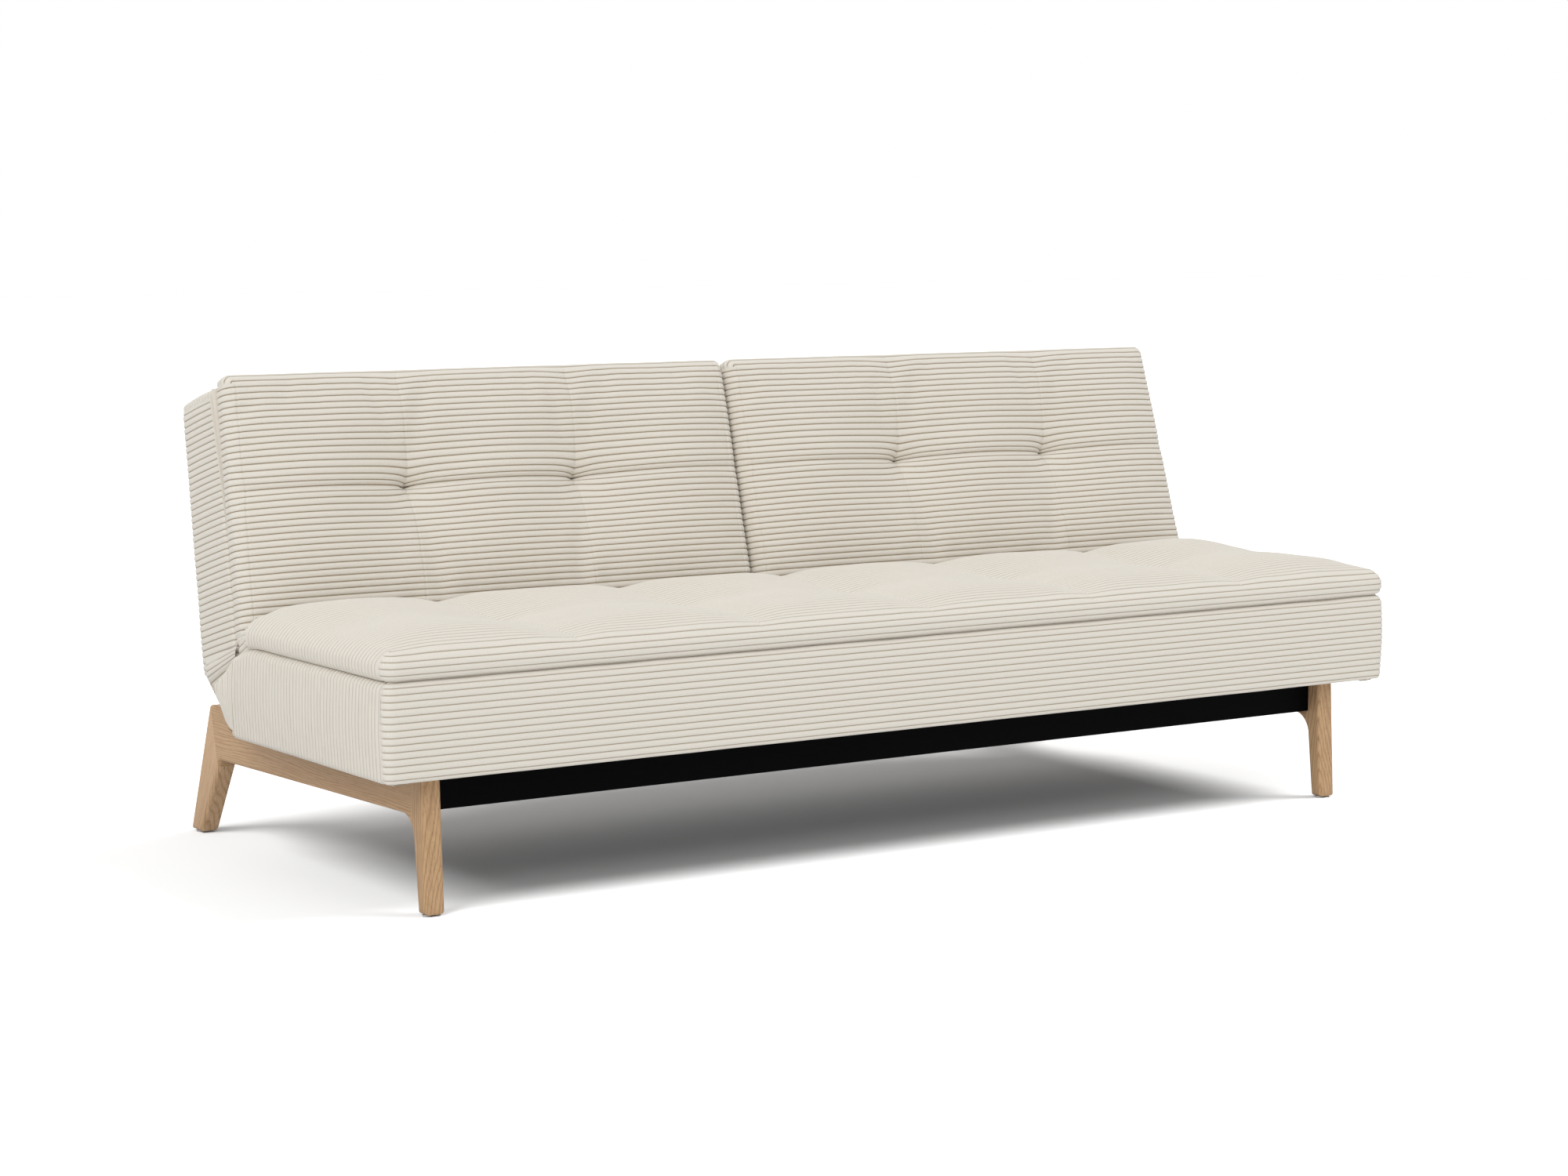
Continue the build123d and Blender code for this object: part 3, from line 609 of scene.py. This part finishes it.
# Seat: the pad and the base below it share their outline
seat = {
    "pillows": 6,
    "edgeHeight": 0.040,
    "crown": 0.022,
    "fullness": 0.8,
    "evened": 3,
    "seamHold": 0.55,  # half width of a held seam, in squares of the simulated sheet
    "fullFront": 0.86,  # front pillows are flatter than the rear ones
    "fullRear": 1.04,
    "fullEnd": 0.25,  # extra lift of the end pillows
    "endMiddle": 0.45,  # its place and reach, in pillows
    "endReach": 0.4,
    "swellFront": 0.006,  # lift of the seams and pillows alike
    "swellFrontRun": ((0.0, 0.2), (0.28, 0.5)),  # rise and fall, in shares of the depth
    "swellRear": 0.0105,
    "swellRearRun": ((0.5, 0.84), (0.90, 1.0)),
    "swellEnd": 0.2,  # fades out at the ends, in pillows
    "tuftHold": 0.014,
    "pinch": 0.0010,  # narrow dip along a sewn line
    "tuftDepth": 0.005,
    "tuftReach": 0.030,
    "tuftPull": 0.10,
    "tuftFold": 0.0006,
    "droop": 0.006,  # lower edge hangs at the rear, where the base falls away
    "droopReach": 0.055,
}
padLow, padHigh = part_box("seat_pad")
baseLow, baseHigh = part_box("seat_base_cushion")
seatPlace = ((0, 0, 0), ((1, 0, 0), (0, 1, 0), (0, 0, 1)))


def level(value):
    return lambda across: value + 0 * across


def noRelief(x, y):
    return 0 * x, 0 * x, 0 * x


tuftShape = {
    "dish": 0.45,  # share of the depth in the wide dish, the rest in the sharp middle
    "sharpReach": 0.34,  # shares of the tuft's reach
    "foldReach": 0.7,
    "folds": 6,
}


def tufts(x, y, places, look):
    # Drawn in without a button: a dish, a sharp middle, short folds, cloth pulled towards it
    moveX, moveY, rise = noRelief(x, y)
    reach = look["tuftReach"]
    for tuftX, tuftY in places:
        dx, dy = x - tuftX, y - tuftY
        away = np.hypot(dx, dy)
        dish = bell(away, reach)
        sharp = np.exp(-away / (tuftShape["sharpReach"] * reach))
        folds = np.cos(tuftShape["folds"] * np.arctan2(dy, dx)) * (1 - sharp)
        folds = folds * np.exp(-away / (tuftShape["foldReach"] * reach))
        depth = tuftShape["dish"] * dish + (1 - tuftShape["dish"]) * sharp
        rise = rise - look["tuftDepth"] * depth + look["tuftFold"] * folds
        moveX = moveX - look["tuftPull"] * dx * dish
        moveY = moveY - look["tuftPull"] * dy * dish
    return moveX, moveY, rise


padWidth, padDepth = padHigh.x - padLow.x, padHigh.y - padLow.y
seatSeams = [padWidth * i / seat["pillows"] for i in range(1, seat["pillows"])]


def seatHeld(x, y):
    held = 0 * x
    for seam in seatSeams:
        held = np.maximum(held, np.abs(x - seam) < stuffing["step"] * seat["seamHold"])
        held = np.maximum(held, np.hypot(x - seam, y - padDepth / 2) < seat["tuftHold"])
    return held


seatBlown = stuffedFace(padWidth, padDepth, noRelief, seatHeld)
seatFace = crowned(seatBlown, seat["crown"], seat["fullness"], seat["evened"])
print("seat stuffed")


def seatRelief(x, y):
    a, b = (x - padLow.x) / padWidth, np.clip((y - padLow.y) / padDepth, 0, 1)
    move = sampled(seatFace, a, b)
    toEnd = np.minimum(a, 1 - a) * seat["pillows"]
    full = seat["fullFront"] + (seat["fullRear"] - seat["fullFront"]) * b
    full = full * (1 + seat["fullEnd"] * bell(toEnd - seat["endMiddle"], seat["endReach"]))
    move[..., 2] = np.where(move[..., 2] > 0, move[..., 2] * full, move[..., 2])
    (frontRise, frontFall), (rearRise, rearFall) = seat["swellFrontRun"], seat["swellRearRun"]
    swell = seat["swellFront"] * smooth(*frontRise, b) * (1 - smooth(*frontFall, b))
    swell = swell + seat["swellRear"] * smooth(*rearRise, b)
    move[..., 2] += swell * (1 - smooth(*rearFall, b)) * smooth(0, seat["swellEnd"], toEnd)
    middle = (padLow.y + padHigh.y) / 2
    moveX, moveY, rise = tufts(x, y, [(padLow.x + seam, middle) for seam in seatSeams], seat)
    for seam in seatSeams:
        rise = rise - seat["pinch"] * bell(x - padLow.x - seam, cord["stitchWidth"])
    return moveX + move[..., 0], moveY + move[..., 1], rise + move[..., 2]


seatPadForm = {
    "x0": level(padLow.x),
    "x1": level(padHigh.x),
    "y0": padLow.y,
    "y1": padHigh.y,
    "low": padLow.z - 0.002,  # pressed a little into the base
    "top": baseHigh.z + seat["edgeHeight"],
    "edge": 0.022,  # radius of the upper edge
    "foot": 0.012,  # and of the lower one
    "fade": 0.036,  # how far down its sides the face's relief reaches
    "bow": 0.003,  # bulge of the sides
    "tuck": 0.020,  # cloth turned in underneath
    "step": 0.006,  # spacing of points down the ends
    "core": 0.012,  # and across the face
    "seed": 3,
    "rib": 1.0,  # depth of the wales, and how far their painted groove shade reaches up the flanks
    "closed": True,
    "seams": [i / seat["pillows"] for i in range(1, seat["pillows"])],
    "cornerSeams": (1.0, 1.0),  # strength at the front and the rear
    "droop": lambda y: seat["droop"] * smooth(padHigh.y - seat["droopReach"], padHigh.y, y),
}
seatPad = clothObject("seat_pad_cover", boxCushion(seatPadForm, seatRelief), seatPlace, corduroy)
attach(seatPad, "base")
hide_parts("seat_pad")

seatBase = {
    "heelDrop": 0.019,  # upper edge falls away towards the hinge
    "heelReach": 0.085,
    "tongue": (0.054, 0.050),  # length and height of the cloth that rises behind the pad's corner
    "tongueStart": (-0.058, -0.024),  # from the base's upper rear edge
    "tongueFall": 0.5,
    "tongueIn": 0.001,
    "tongueColumns": 8,
}


def baseRelief(x, y):
    fall = smooth(baseHigh.y - seatBase["heelReach"], baseHigh.y, y)
    return 0 * x, 0 * x, -seatBase["heelDrop"] * fall


seatBaseForm = {
    "x0": level(baseLow.x),
    "x1": level(baseHigh.x),
    "y0": baseLow.y,
    "y1": baseHigh.y,
    "low": baseLow.z,
    "top": baseHigh.z - 0.001,  # just under the pad
    "edge": 0.016,
    "foot": 0.009,
    "fade": 0.11,
    "bow": 0.003,
    "tuck": 0.035,
    "step": 0.010,
    "core": 0.030,
    "seed": 5,
    "rib": 1.0,
    "closed": False,
    "seams": (),
    "cornerSeams": (1.0, 0.01),
    "droop": level(0.0),
}


def addTongue(cloth, side, way):
    # Cloth that rises from the base behind the pad's rear corner
    length, height = seatBase["tongue"]
    startY, startZ = seatBase["tongueStart"]
    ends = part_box(f"{side}_back_cushion")
    rows = waleRows(0, height)
    part = (rows / height)[:, None]
    run = np.linspace(0, 1, seatBase["tongueColumns"])[None, :]
    ys = baseHigh.y + startY + length * run + 0 * part
    zs = baseHigh.z + startZ + height * part - seatBase["tongueFall"] * length * run
    xs = way * (max(abs(ends[0].x), abs(ends[1].x)) - seatBase["tongueIn"]) + 0 * ys
    points = np.stack([xs, ys, zs], axis=-1)
    addPanel(cloth, points[:, ::way], rows[:, None], run * length, 0 * xs)


baseCloth = boxCushion(seatBaseForm, baseRelief)
addTongue(baseCloth, "left", -1)
addTongue(baseCloth, "right", 1)
baseCover = clothObject("seat_base_cover", baseCloth, seatPlace, corduroy)
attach(baseCover, "base")
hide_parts("seat_base_cushion")
print("seat made")

# Back halves: X, u up the back and n forward from the hinge line
back = {
    "lean": 15,  # degrees
    "endBand": 0.10,  # height of the bands in which a tapered end is measured
    "seams": {"left": (0.333, 0.667), "right": (0.362, 0.711)},  # shares of the width
    "seamLean": {"left": (-0.012, -0.007), "right": (0.0, 0.0)},  # sideways at the upper end
    "leanReach": 0.10,
    "edgeHeight": 0.038,
    "heel": 0.010,  # how far the stuffing hangs below the hinge end
    "below": 0.012,  # lower end tucked down behind the seat
    "rearFull": 0.006,  # stuffing behind the rear cover
    "crown": 0.023,
    "drawnDepth": 0.020,  # how far the stuffing is tied down at a tuft
    "drawnReach": 0.024,
    "drawnIn": 0.40,  # share of cloth gathered there
    "drawnHold": 0.8,  # held within this share of the reach
    "pinch": 0.0011,
    "stitch": 0.003,  # sewn line beside the rounded edge
    "tuftHeight": 0.56,  # share of the pad's height
    "tuftDepth": 0.012,
    "tuftReach": 0.036,
    "tuftPull": 0.12,
    "tuftFold": 0.0010,
    "creaseFade": 0.4,  # the crease between the tufts fades out at the pad's edges
    "creaseReach": 0.018,
    "creasePull": 0.22,
    "creaseDip": 0.0045,
    "dipSharp": 2.6,
    "brow": 0.0035,  # upper pillows hang a little over that crease
    "browSag": 0.004,
    "browPlace": (0.026, 0.024),  # height above the crease, and reach
    "waist": 0.004,  # ends drawn in beside the crease
    "waistPower": 5,
    "valley": (0.006, 0.05),  # depth and reach of a seam drawn in above a tuft
    "valleyBelow": (0.002, 0.03),
    "valleyWidth": 0.010,
    "notch": 0.0045,  # dips of the upper edge at the seams
    "notchSize": (0.05, 0.08),  # width and height
}
hinge = np.array(frame["joints"][0]["pos_m"])
backLean = math.radians(back["lean"])
axisU = np.array((0, math.sin(backLean), math.cos(backLean)))
axisN = np.array((0, -math.cos(backLean), math.sin(backLean)))


def backExtent(nodeName):
    points = np.array([v.co for v in frame["nodes"][nodeName].data.vertices]) - hinge
    return points[:, 0], points @ axisU, points @ axisN


def edgeLine(nodeName, way):
    # Straight line through the outer edge of a tapered piece, as a function of u
    x, u, n = backExtent(nodeName)
    low = u < u.min() + back["endBand"]
    high = u > u.max() - back["endBand"]
    uLow, uHigh = u[low][np.argmax(way * x[low])], u[high][np.argmax(way * x[high])]
    xLow, xHigh = way * (way * x[low]).max(), way * (way * x[high]).max()
    slope = (xHigh - xLow) / (uHigh - uLow)
    return lambda across: xLow + slope * (across - uLow)


def backFace(width, depth, shares):
    ties = [(width * share, depth * back["tuftHeight"]) for share in shares]

    def drawn(x, u):
        moveX, moveU, lift = noRelief(x, u)
        for tieX, tieU in ties:
            near = np.exp(-((x - tieX) ** 2 + (u - tieU) ** 2) / back["drawnReach"] ** 2)
            moveX = moveX - back["drawnIn"] * (x - tieX) * near
            moveU = moveU - back["drawnIn"] * (u - tieU) * near
            lift = lift - back["drawnDepth"] * near
        return moveX, moveU, lift

    def held(x, u):
        reach = back["drawnHold"] * back["drawnReach"]
        return sum(1.0 * (np.hypot(x - tieX, u - tieU) < reach) for tieX, tieU in ties)

    return crowned(stuffedFace(width, depth, drawn, held), back["crown"])


def backRelief(side, x0, x1, u0, u1, edge):
    shares, leans = back["seams"][side], back["seamLean"][side]
    face = backFace(x1(u0) - x0(u0), u1 - u0, shares)
    middleU = u0 + (u1 - u0) * back["tuftHeight"]

    def relief(x, u):
        left, right = x0(u), x1(u)
        a = np.clip((x - left) / (right - left), 0, 1)
        b = np.clip((u - u0) / (u1 - u0), 0, 1)
        move = sampled(face, a, b)
        seamX = [left + (right - left) * share for share in shares]
        moveX, moveY, rise = tufts(x, u, [(sx, middleU) for sx in seamX], back)
        for sx in (*seamX, left + edge + back["stitch"], right - edge - back["stitch"]):
            rise = rise - back["pinch"] * bell(x - sx, cord["stitchWidth"])
        above = u - middleU
        crease = bell(above, back["creaseReach"])
        whole = (np.sin(math.pi * a) * np.sin(math.pi * b)) ** back["creaseFade"]
        moveY = moveY - back["creasePull"] * above * crease * whole
        dip = bell(back["dipSharp"] * above, back["creaseReach"])
        rise = rise - back["creaseDip"] * dip * whole
        browHeight, browReach = back["browPlace"]
        brow = bell(above - browHeight, browReach) * whole
        rise = rise + back["brow"] * brow
        moveY = moveY - back["browSag"] * brow
        drawnIn = (1 - 2 * a) * np.abs(1 - 2 * a) ** back["waistPower"]
        moveX = moveX + back["waist"] * drawnIn * crease
        (upDepth, upReach), (downDepth, downReach) = back["valley"], back["valleyBelow"]
        upper, lower = upDepth * np.exp(-above / upReach), downDepth * np.exp(above / downReach)
        valley = np.where(above > 0, upper, lower)
        notchWidth, notchHeight = back["notchSize"]
        atTop = smooth(u1 - notchHeight, u1, u)
        up = np.maximum(above, 0) / (u1 - middleU)
        for sx, lean in zip(seamX, leans):
            moveX = moveX + lean * up * bell(x - sx, back["leanReach"])
            rise = rise - valley * bell(x - sx, back["valleyWidth"])
            moveY = moveY - back["notch"] * bell(x - sx, notchWidth) * atTop
        return moveX + move[..., 0], moveY + move[..., 1], rise + move[..., 2]

    return relief


# Cloth at the hinge: a sheet behind it, and at the end a gathered flap below the back's own cloth
gusset = {
    "seed": 21,
    "columns": 34,
    "sheetLow": -0.004,  # lower end of the sheet, from the base's rear
    "sheetTop": (-0.006, 0.004),  # upper end, from the back's lower rear corner
    "sheetHem": 0.010,
    "sag": 0.010,
    "creaseFront": -0.021,  # start of the crease under the back, below the base's upper edge
    "creaseRear": (-0.010, -0.014),  # and its end, from the back's lower rear corner
    "flapColumns": 34,
    "flapLength": 0.13,
    "lowLine": (  # lower edge of the flap, from the base's lower rear edge
        (-0.016, 0.0), (0.0, 0.0), (0.024, 0.009),
        (0.049, 0.029), (0.079, 0.047), (0.103, 0.060),
    ),
    "crowd": 1.7,  # how far the wales crowd together at the base's lower corner
    "bowed": 0.12,
    "profileSteps": 60,
    "rearIn": 0.003,  # the rear stays this far inside the back's end
    "tuckTop": 0.008,  # rolled in along the crease, and where, as shares up and along
    "tuckTopRun": ((0.86, 1.0), (0.0, 0.2)),
    "tuckLow": 0.016,  # rolled in along the lower edge
    "tuckLowRun": ((0.0, 0.14), (0.02, 0.2)),
    "puff": 0.005,
    "tucks": 0.0020,  # gathers below the crease
    "tuckCount": 11,
    "tuckTwist": 2,
    "tucksRun": (0.35, 0.95),
    "tip": 0.016,  # its rear end rolls in under the back's corner
    "tipStart": 0.72,
    "hem": 0.031,  # how far the back's cloth reaches up its side
    "hemStart": 0.12,  # share of the crease left to the base's cloth
    "hemFront": (-0.004, 0.022),  # front end of the back's cloth, from the crease's
    "hemUnder": 0.007,  # overlaps the flap
    "hemOut": 0.0012,
    "hemFull": 0.003,
    "hemTuck": (0.008, 0.45),  # rolled in at the crease, and how far up
    "hemTurn": (0.012, 0.84),  # turned round the rear corner, and from where
    "hemLength": 0.15,
}


def along(line, share):
    # Point at a share of the length of a line of points
    line = np.array(line)
    steps = np.concatenate([[0], np.cumsum(np.linalg.norm(np.diff(line, axis=0), axis=1))])
    place = np.asarray(share) * steps[-1]
    return np.stack([np.interp(place, steps, line[:, axis]) for axis in (0, 1)], axis=-1)


def between(first, second, share):
    return first + (second - first) * np.asarray(share)[..., None]


def heelOf(side):
    # Lower rear corner of a back half, seen from its end
    u = backExtent(f"{side}_back_cushion")[1]
    rearN = backExtent(f"{side}_back_rear_cover")[2].min()
    return (hinge + axisU * (u.min() - back["heel"]) + axisN * rearN)[1:]


def creaseOf(heel):
    # Line under the back's lower edge where its cloth meets the base's
    sideRear = math.floor((baseHigh.y - seatBaseForm["edge"]) / cord["pitch"]) * cord["pitch"]
    front = np.array((sideRear, baseHigh.z + gusset["creaseFront"]))
    return front, heel + np.array(gusset["creaseRear"])


def addApron(cloth, side, way, place):
    # The back's own cloth runs down along the crease and round the rear corner
    heel = heelOf(side)
    cushionX = np.abs(backExtent(f"{side}_back_cushion")[0]).max()
    creaseFront, creaseRear = creaseOf(heel)
    hemFront = creaseFront + np.array(gusset["hemFront"])
    hemRear = heel + (axisU * gusset["hem"])[1:]
    depth = np.linalg.norm(hemRear - creaseRear) + gusset["hemUnder"]
    rows = waleRows(0, depth)
    part = (rows / depth)[:, None]
    run = np.linspace(gusset["hemStart"], 1, gusset["flapColumns"])[None, :]
    lower = between(creaseFront, creaseRear, run) + np.array((0.0, -gusset["hemUnder"]))
    yz = between(lower, between(hemFront, hemRear, run), part)
    (turn, turnStart), (tuck, tuckReach) = gusset["hemTurn"], gusset["hemTuck"]
    turned = turn * smooth(turnStart, 1.0, run) ** 2
    tucked = tuck * (1 - smooth(0, tuckReach, part))
    full = gusset["hemFull"] * np.sin(math.pi * part)
    xs = cushionX + gusset["hemOut"] - turned - tucked + full
    points = np.stack([way * xs, yz[:, :, 0], yz[:, :, 1]], axis=-1)
    points = (points - np.array(place[0])) @ np.array(place[1]).T
    along = run * gusset["hemLength"]
    addPanel(cloth, points[:, :: way * -1], rows[:, None], along, 0.0 * part * run)


def backHalf(side, way):
    x, u, n = backExtent(f"{side}_back_pad")
    inner = level(way * np.abs(x).min())
    outer = edgeLine(f"{side}_back_pad", way)
    x0, x1 = (inner, outer) if way > 0 else (outer, inner)
    padForm = {
        "x0": x0,
        "x1": x1,
        "y0": u.min() - back["below"],
        "y1": u.max(),
        "low": n.min() + 0.001,
        "top": n.min() + back["edgeHeight"],
        "edge": 0.015,
        "foot": 0.006,
        "fade": 0.024,
        "bow": 0.002,
        "tuck": 0.010,
        "step": 0.006,
        "core": 0.011,
        "seed": 7 if way > 0 else 8,
        # Deeper wales on the back, with more painted groove shade on their flanks
        "rib": 1.22,
        "closed": True,
        "seams": (0, *back["seams"][side], 1),
        "stitch": back["stitch"],
        "cornerSeams": (1.0, 1.0),
        "droop": level(0.0),
    }
    padPlace = (hinge, ((1, 0, 0), axisU, axisN))
    relief = backRelief(side, x0, x1, padForm["y0"], padForm["y1"], padForm["edge"])
    pad = clothObject(f"{side}_back_pad_cover", boxCushion(padForm, relief), padPlace, corduroy)
    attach(pad, f"{side}_back")
    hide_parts(f"{side}_back_pad")
    x, u, n = backExtent(f"{side}_back_cushion")
    rearN = backExtent(f"{side}_back_rear_cover")[2].min()
    outer = edgeLine(f"{side}_back_cushion", way)
    x0, x1 = (inner, outer) if way > 0 else (outer, inner)
    cushionForm = {
        "x0": x0,
        "x1": x1,
        "y0": u.min() - back["heel"],
        "y1": u.max(),
        "low": -n.max(),
        "top": -rearN + back["rearFull"],
        "edge": 0.014,
        "foot": 0.008,
        "fade": 0.03,
        "bow": 0.002,
        "tuck": 0.010,
        "step": 0.010,
        "core": 0.030,
        "seed": 11 if way > 0 else 12,
        "rib": 1.1,
        "closed": True,
        "seams": (),
        "cornerSeams": (0.01, 1.0),
        "droop": level(0.0),
    }
    cushionPlace = (hinge, ((1, 0, 0), axisU, -axisN))
    cloth = boxCushion(cushionForm, noRelief)
    addApron(cloth, side, way, cushionPlace)
    cushion = clothObject(f"{side}_back_cushion_cover", cloth, cushionPlace, corduroy, flip=True)
    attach(cushion, f"{side}_back")
    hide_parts(f"{side}_back_cushion", f"{side}_back_rear_cover")


for side, way in (("left", -1), ("right", 1)):
    backHalf(side, way)
print("back halves made")


def hingeSheet(side, heel):
    low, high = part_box(f"{side}_hinge_gusset")
    bottom = np.array((baseHigh.y + gusset["sheetLow"], low.z))
    top = heel + np.array(gusset["sheetTop"])
    span = np.linalg.norm(top - bottom)
    across = waleRows(0, span)
    xs = np.linspace(low.x, high.x, gusset["columns"])
    share = (across / span)[:, None] * np.ones((1, len(xs)))
    sag = gusset["sag"] * np.sin(math.pi * share)
    slant = (top - bottom) / span
    ys = bottom[0] + slant[0] * span * share + slant[1] * sag
    zs = bottom[1] + slant[1] * span * share - slant[0] * sag
    points = np.stack([xs[None, :] * np.ones(share.shape), ys, zs], axis=-1)
    cloth = newCloth()
    sink = -wobble(xs[None, :], zs, gusset["seed"])
    addPanel(cloth, points[:, ::-1], across[:, None], xs[None, ::-1], sink[:, ::-1])
    sheet = clothObject(f"{side}_hinge_sheet", cloth, seatPlace, corduroy)
    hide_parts(f"{side}_hinge_gusset")
    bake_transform(sheet)


def hingeFlap(side, way, heel):
    # The base's upright wales run on behind it and gather into the crease
    cushionX = np.abs(backExtent(f"{side}_back_cushion")[0]).max()
    creaseFront, creaseRear = creaseOf(heel)
    sideRear = creaseFront[0]
    lowLine = np.array(gusset["lowLine"]) + np.array((baseHigh.y, baseLow.z))
    lowLine[0, 0] = sideRear
    width = np.linalg.norm(creaseRear - creaseFront)
    across = waleRows(0, width)
    share = (across / width)[:, None]
    rise = np.linspace(0, 1, gusset["flapColumns"])[None, :]
    upper = between(creaseFront, creaseRear, share)
    lower = along(lowLine, share ** gusset["crowd"])
    yz = between(lower, upper, rise)
    yz[:, :, 0] += gusset["bowed"] * (upper - lower)[:, :, 0] * np.sin(math.pi * rise) * share
    # Way out: the base's own side at the front, the back's side at the rear
    form = seatBaseForm
    q = np.linspace(0, sideProfile(form, np.array([0.0]))[4], gusset["profileSteps"])
    out, down = sideProfile(form, q)[:2]
    frontZ = creaseFront[1] * rise + lowLine[0, 1] * (1 - rise)
    drop = -baseRelief(0.0, sideRear)[2] * (1 - smooth(0, form["fade"], q))
    frontX = baseHigh.x - form["edge"] + np.interp(form["top"] - frontZ, down + drop, out)
    rearX = cushionX - gusset["rearIn"]
    reach = smooth(0, 1, share)
    (topUp, topAlong), (lowUp, lowAlong) = gusset["tuckTopRun"], gusset["tuckLowRun"]
    tuckedTop = gusset["tuckTop"] * smooth(*topUp, rise) * smooth(*topAlong, share)
    tuckedLow = gusset["tuckLow"] * (1 - smooth(*lowUp, rise)) * smooth(*lowAlong, share)
    puff = gusset["puff"] * np.sin(math.pi * share) * np.sin(math.pi * rise)
    waves = np.sin(gusset["tuckCount"] * math.pi * share + gusset["tuckTwist"] * rise)
    folds = gusset["tucks"] * waves * np.sin(math.pi * share) * smooth(*gusset["tucksRun"], rise)
    xs = frontX * (1 - reach) + rearX * reach - tuckedTop - tuckedLow + puff + folds
    xs = xs - gusset["tip"] * smooth(gusset["tipStart"], 1.0, share) ** 2
    points = np.stack([way * xs, yz[:, :, 0], yz[:, :, 1]], axis=-1)
    cloth = newCloth()
    upwards = rise * gusset["flapLength"]
    addPanel(cloth, points[:, :: way * -1], across[:, None], upwards, 0.0 * share * rise)
    flap = clothObject(f"{side}_hinge_flap", cloth, seatPlace, corduroy)
    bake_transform(flap)


for side, way in (("left", -1), ("right", 1)):
    hingeSheet(side, heelOf(side))
    hingeFlap(side, way, heelOf(side))
print("hinge cloths made")

# Floor, light and camera
studio = {
    "floorSize": 60,
    "floor": (0.50, 0.50, 0.50),  # as the camera sees it
    "floorBounce": (0.25, 0.25, 0.25),  # as it lights the sofa
    "floorLift": 0.045,
    "floorLamps": ((5.8, (0.78, -0.33, 1.0)), (4.6, (-0.94, -0.33, 1.0))),  # light the floor alone
    "floorSpread": 30,
    "horizon": 0.43,  # sky level, rising towards the zenith
    "zenith": 0.98,
    "keyPower": 0.95,
    "keySpread": 26,  # degrees across
    "keyFrom": (-6.0, -6.6, 6.0),
}


def seenRays(owner):
    # 1 for what the camera sees, straight or by way of gloss and glass
    rays = node(owner, "ShaderNodeLightPath").outputs
    mirrored = maths(owner, "MAXIMUM", rays["Is Glossy Ray"], rays["Is Transmission Ray"])
    return maths(owner, "MAXIMUM", rays["Is Camera Ray"], mirrored)


bpy.ops.mesh.primitive_plane_add(size=studio["floorSize"], location=(0, 0, 0))
floor = bpy.context.object
floor.name = "floor"
floorPaint, floorShader = newMaterial("floorPaint")
floorSeen = seenRays(floorPaint)
floorSurface = {
    "Base Color": mixColour(floorPaint, floorSeen, studio["floorBounce"], studio["floor"]),
    "Roughness": 1.0,
    "Specular IOR Level": 0.0,
    "Emission Color": white,
    "Emission Strength": maths(floorPaint, "MULTIPLY", floorSeen, studio["floorLift"]),
}
feed(floorPaint, floorShader, floorSurface)
floor.data.materials.append(floorPaint)

world = bpy.data.worlds.new("studio")
bpy.context.scene.world = world
world.use_nodes = True
sky = node(world, "ShaderNodeSeparateXYZ")
feed(world, sky, {0: node(world, "ShaderNodeTexCoord").outputs["Generated"]})
skyLevel = node(world, "ShaderNodeMapRange")
skyRange = {"Value": sky.outputs["Z"], "To Min": studio["horizon"], "To Max": studio["zenith"]}
feed(world, skyLevel, skyRange)
backdrop = node(world, "ShaderNodeMix")
feed(world, backdrop, {"Factor": seenRays(world), "A": skyLevel.outputs["Result"], "B": 1.0})
background = world.node_tree.nodes["Background"]
feed(world, background, {"Color": white, "Strength": backdrop.outputs["Result"]})


def sun(name, power, spread, source):
    data = bpy.data.lights.new(name, "SUN")
    data.energy = power
    data.angle = math.radians(spread)
    lamp = bpy.data.objects.new(name, data)
    bpy.context.scene.collection.objects.link(lamp)
    lamp.rotation_euler = (-Vector(source)).to_track_quat("-Z", "Y").to_euler()
    return lamp


sun("key", studio["keyPower"], studio["keySpread"], studio["keyFrom"])
floorAlone = bpy.data.collections.new("floorAlone")
floorAlone.objects.link(floor)
for power, source in studio["floorLamps"]:
    lamp = sun("floorLamp", power, studio["floorSpread"], source)
    lamp.light_linking.receiver_collection = floorAlone

lens = {
    "place": (-3.2113, -4.7776, 1.0666),
    "yaw": 33.911,  # degrees from +Y towards +X
    "pitch": 6.622,  # degrees below level
    "focal": 76.75,  # millimetres
    "sensor": 36,
}
cameraData = bpy.data.cameras.new("camera")
cameraData.lens = lens["focal"]
cameraData.sensor_width = lens["sensor"]
camera = bpy.data.objects.new("camera", cameraData)
bpy.context.scene.collection.objects.link(camera)
camera.location = lens["place"]
camera.rotation_euler = (math.radians(90 - lens["pitch"]), 0, math.radians(-lens["yaw"]))
bpy.context.scene.camera = camera
bpy.context.scene.view_settings.view_transform = "Standard"
print("stage set")
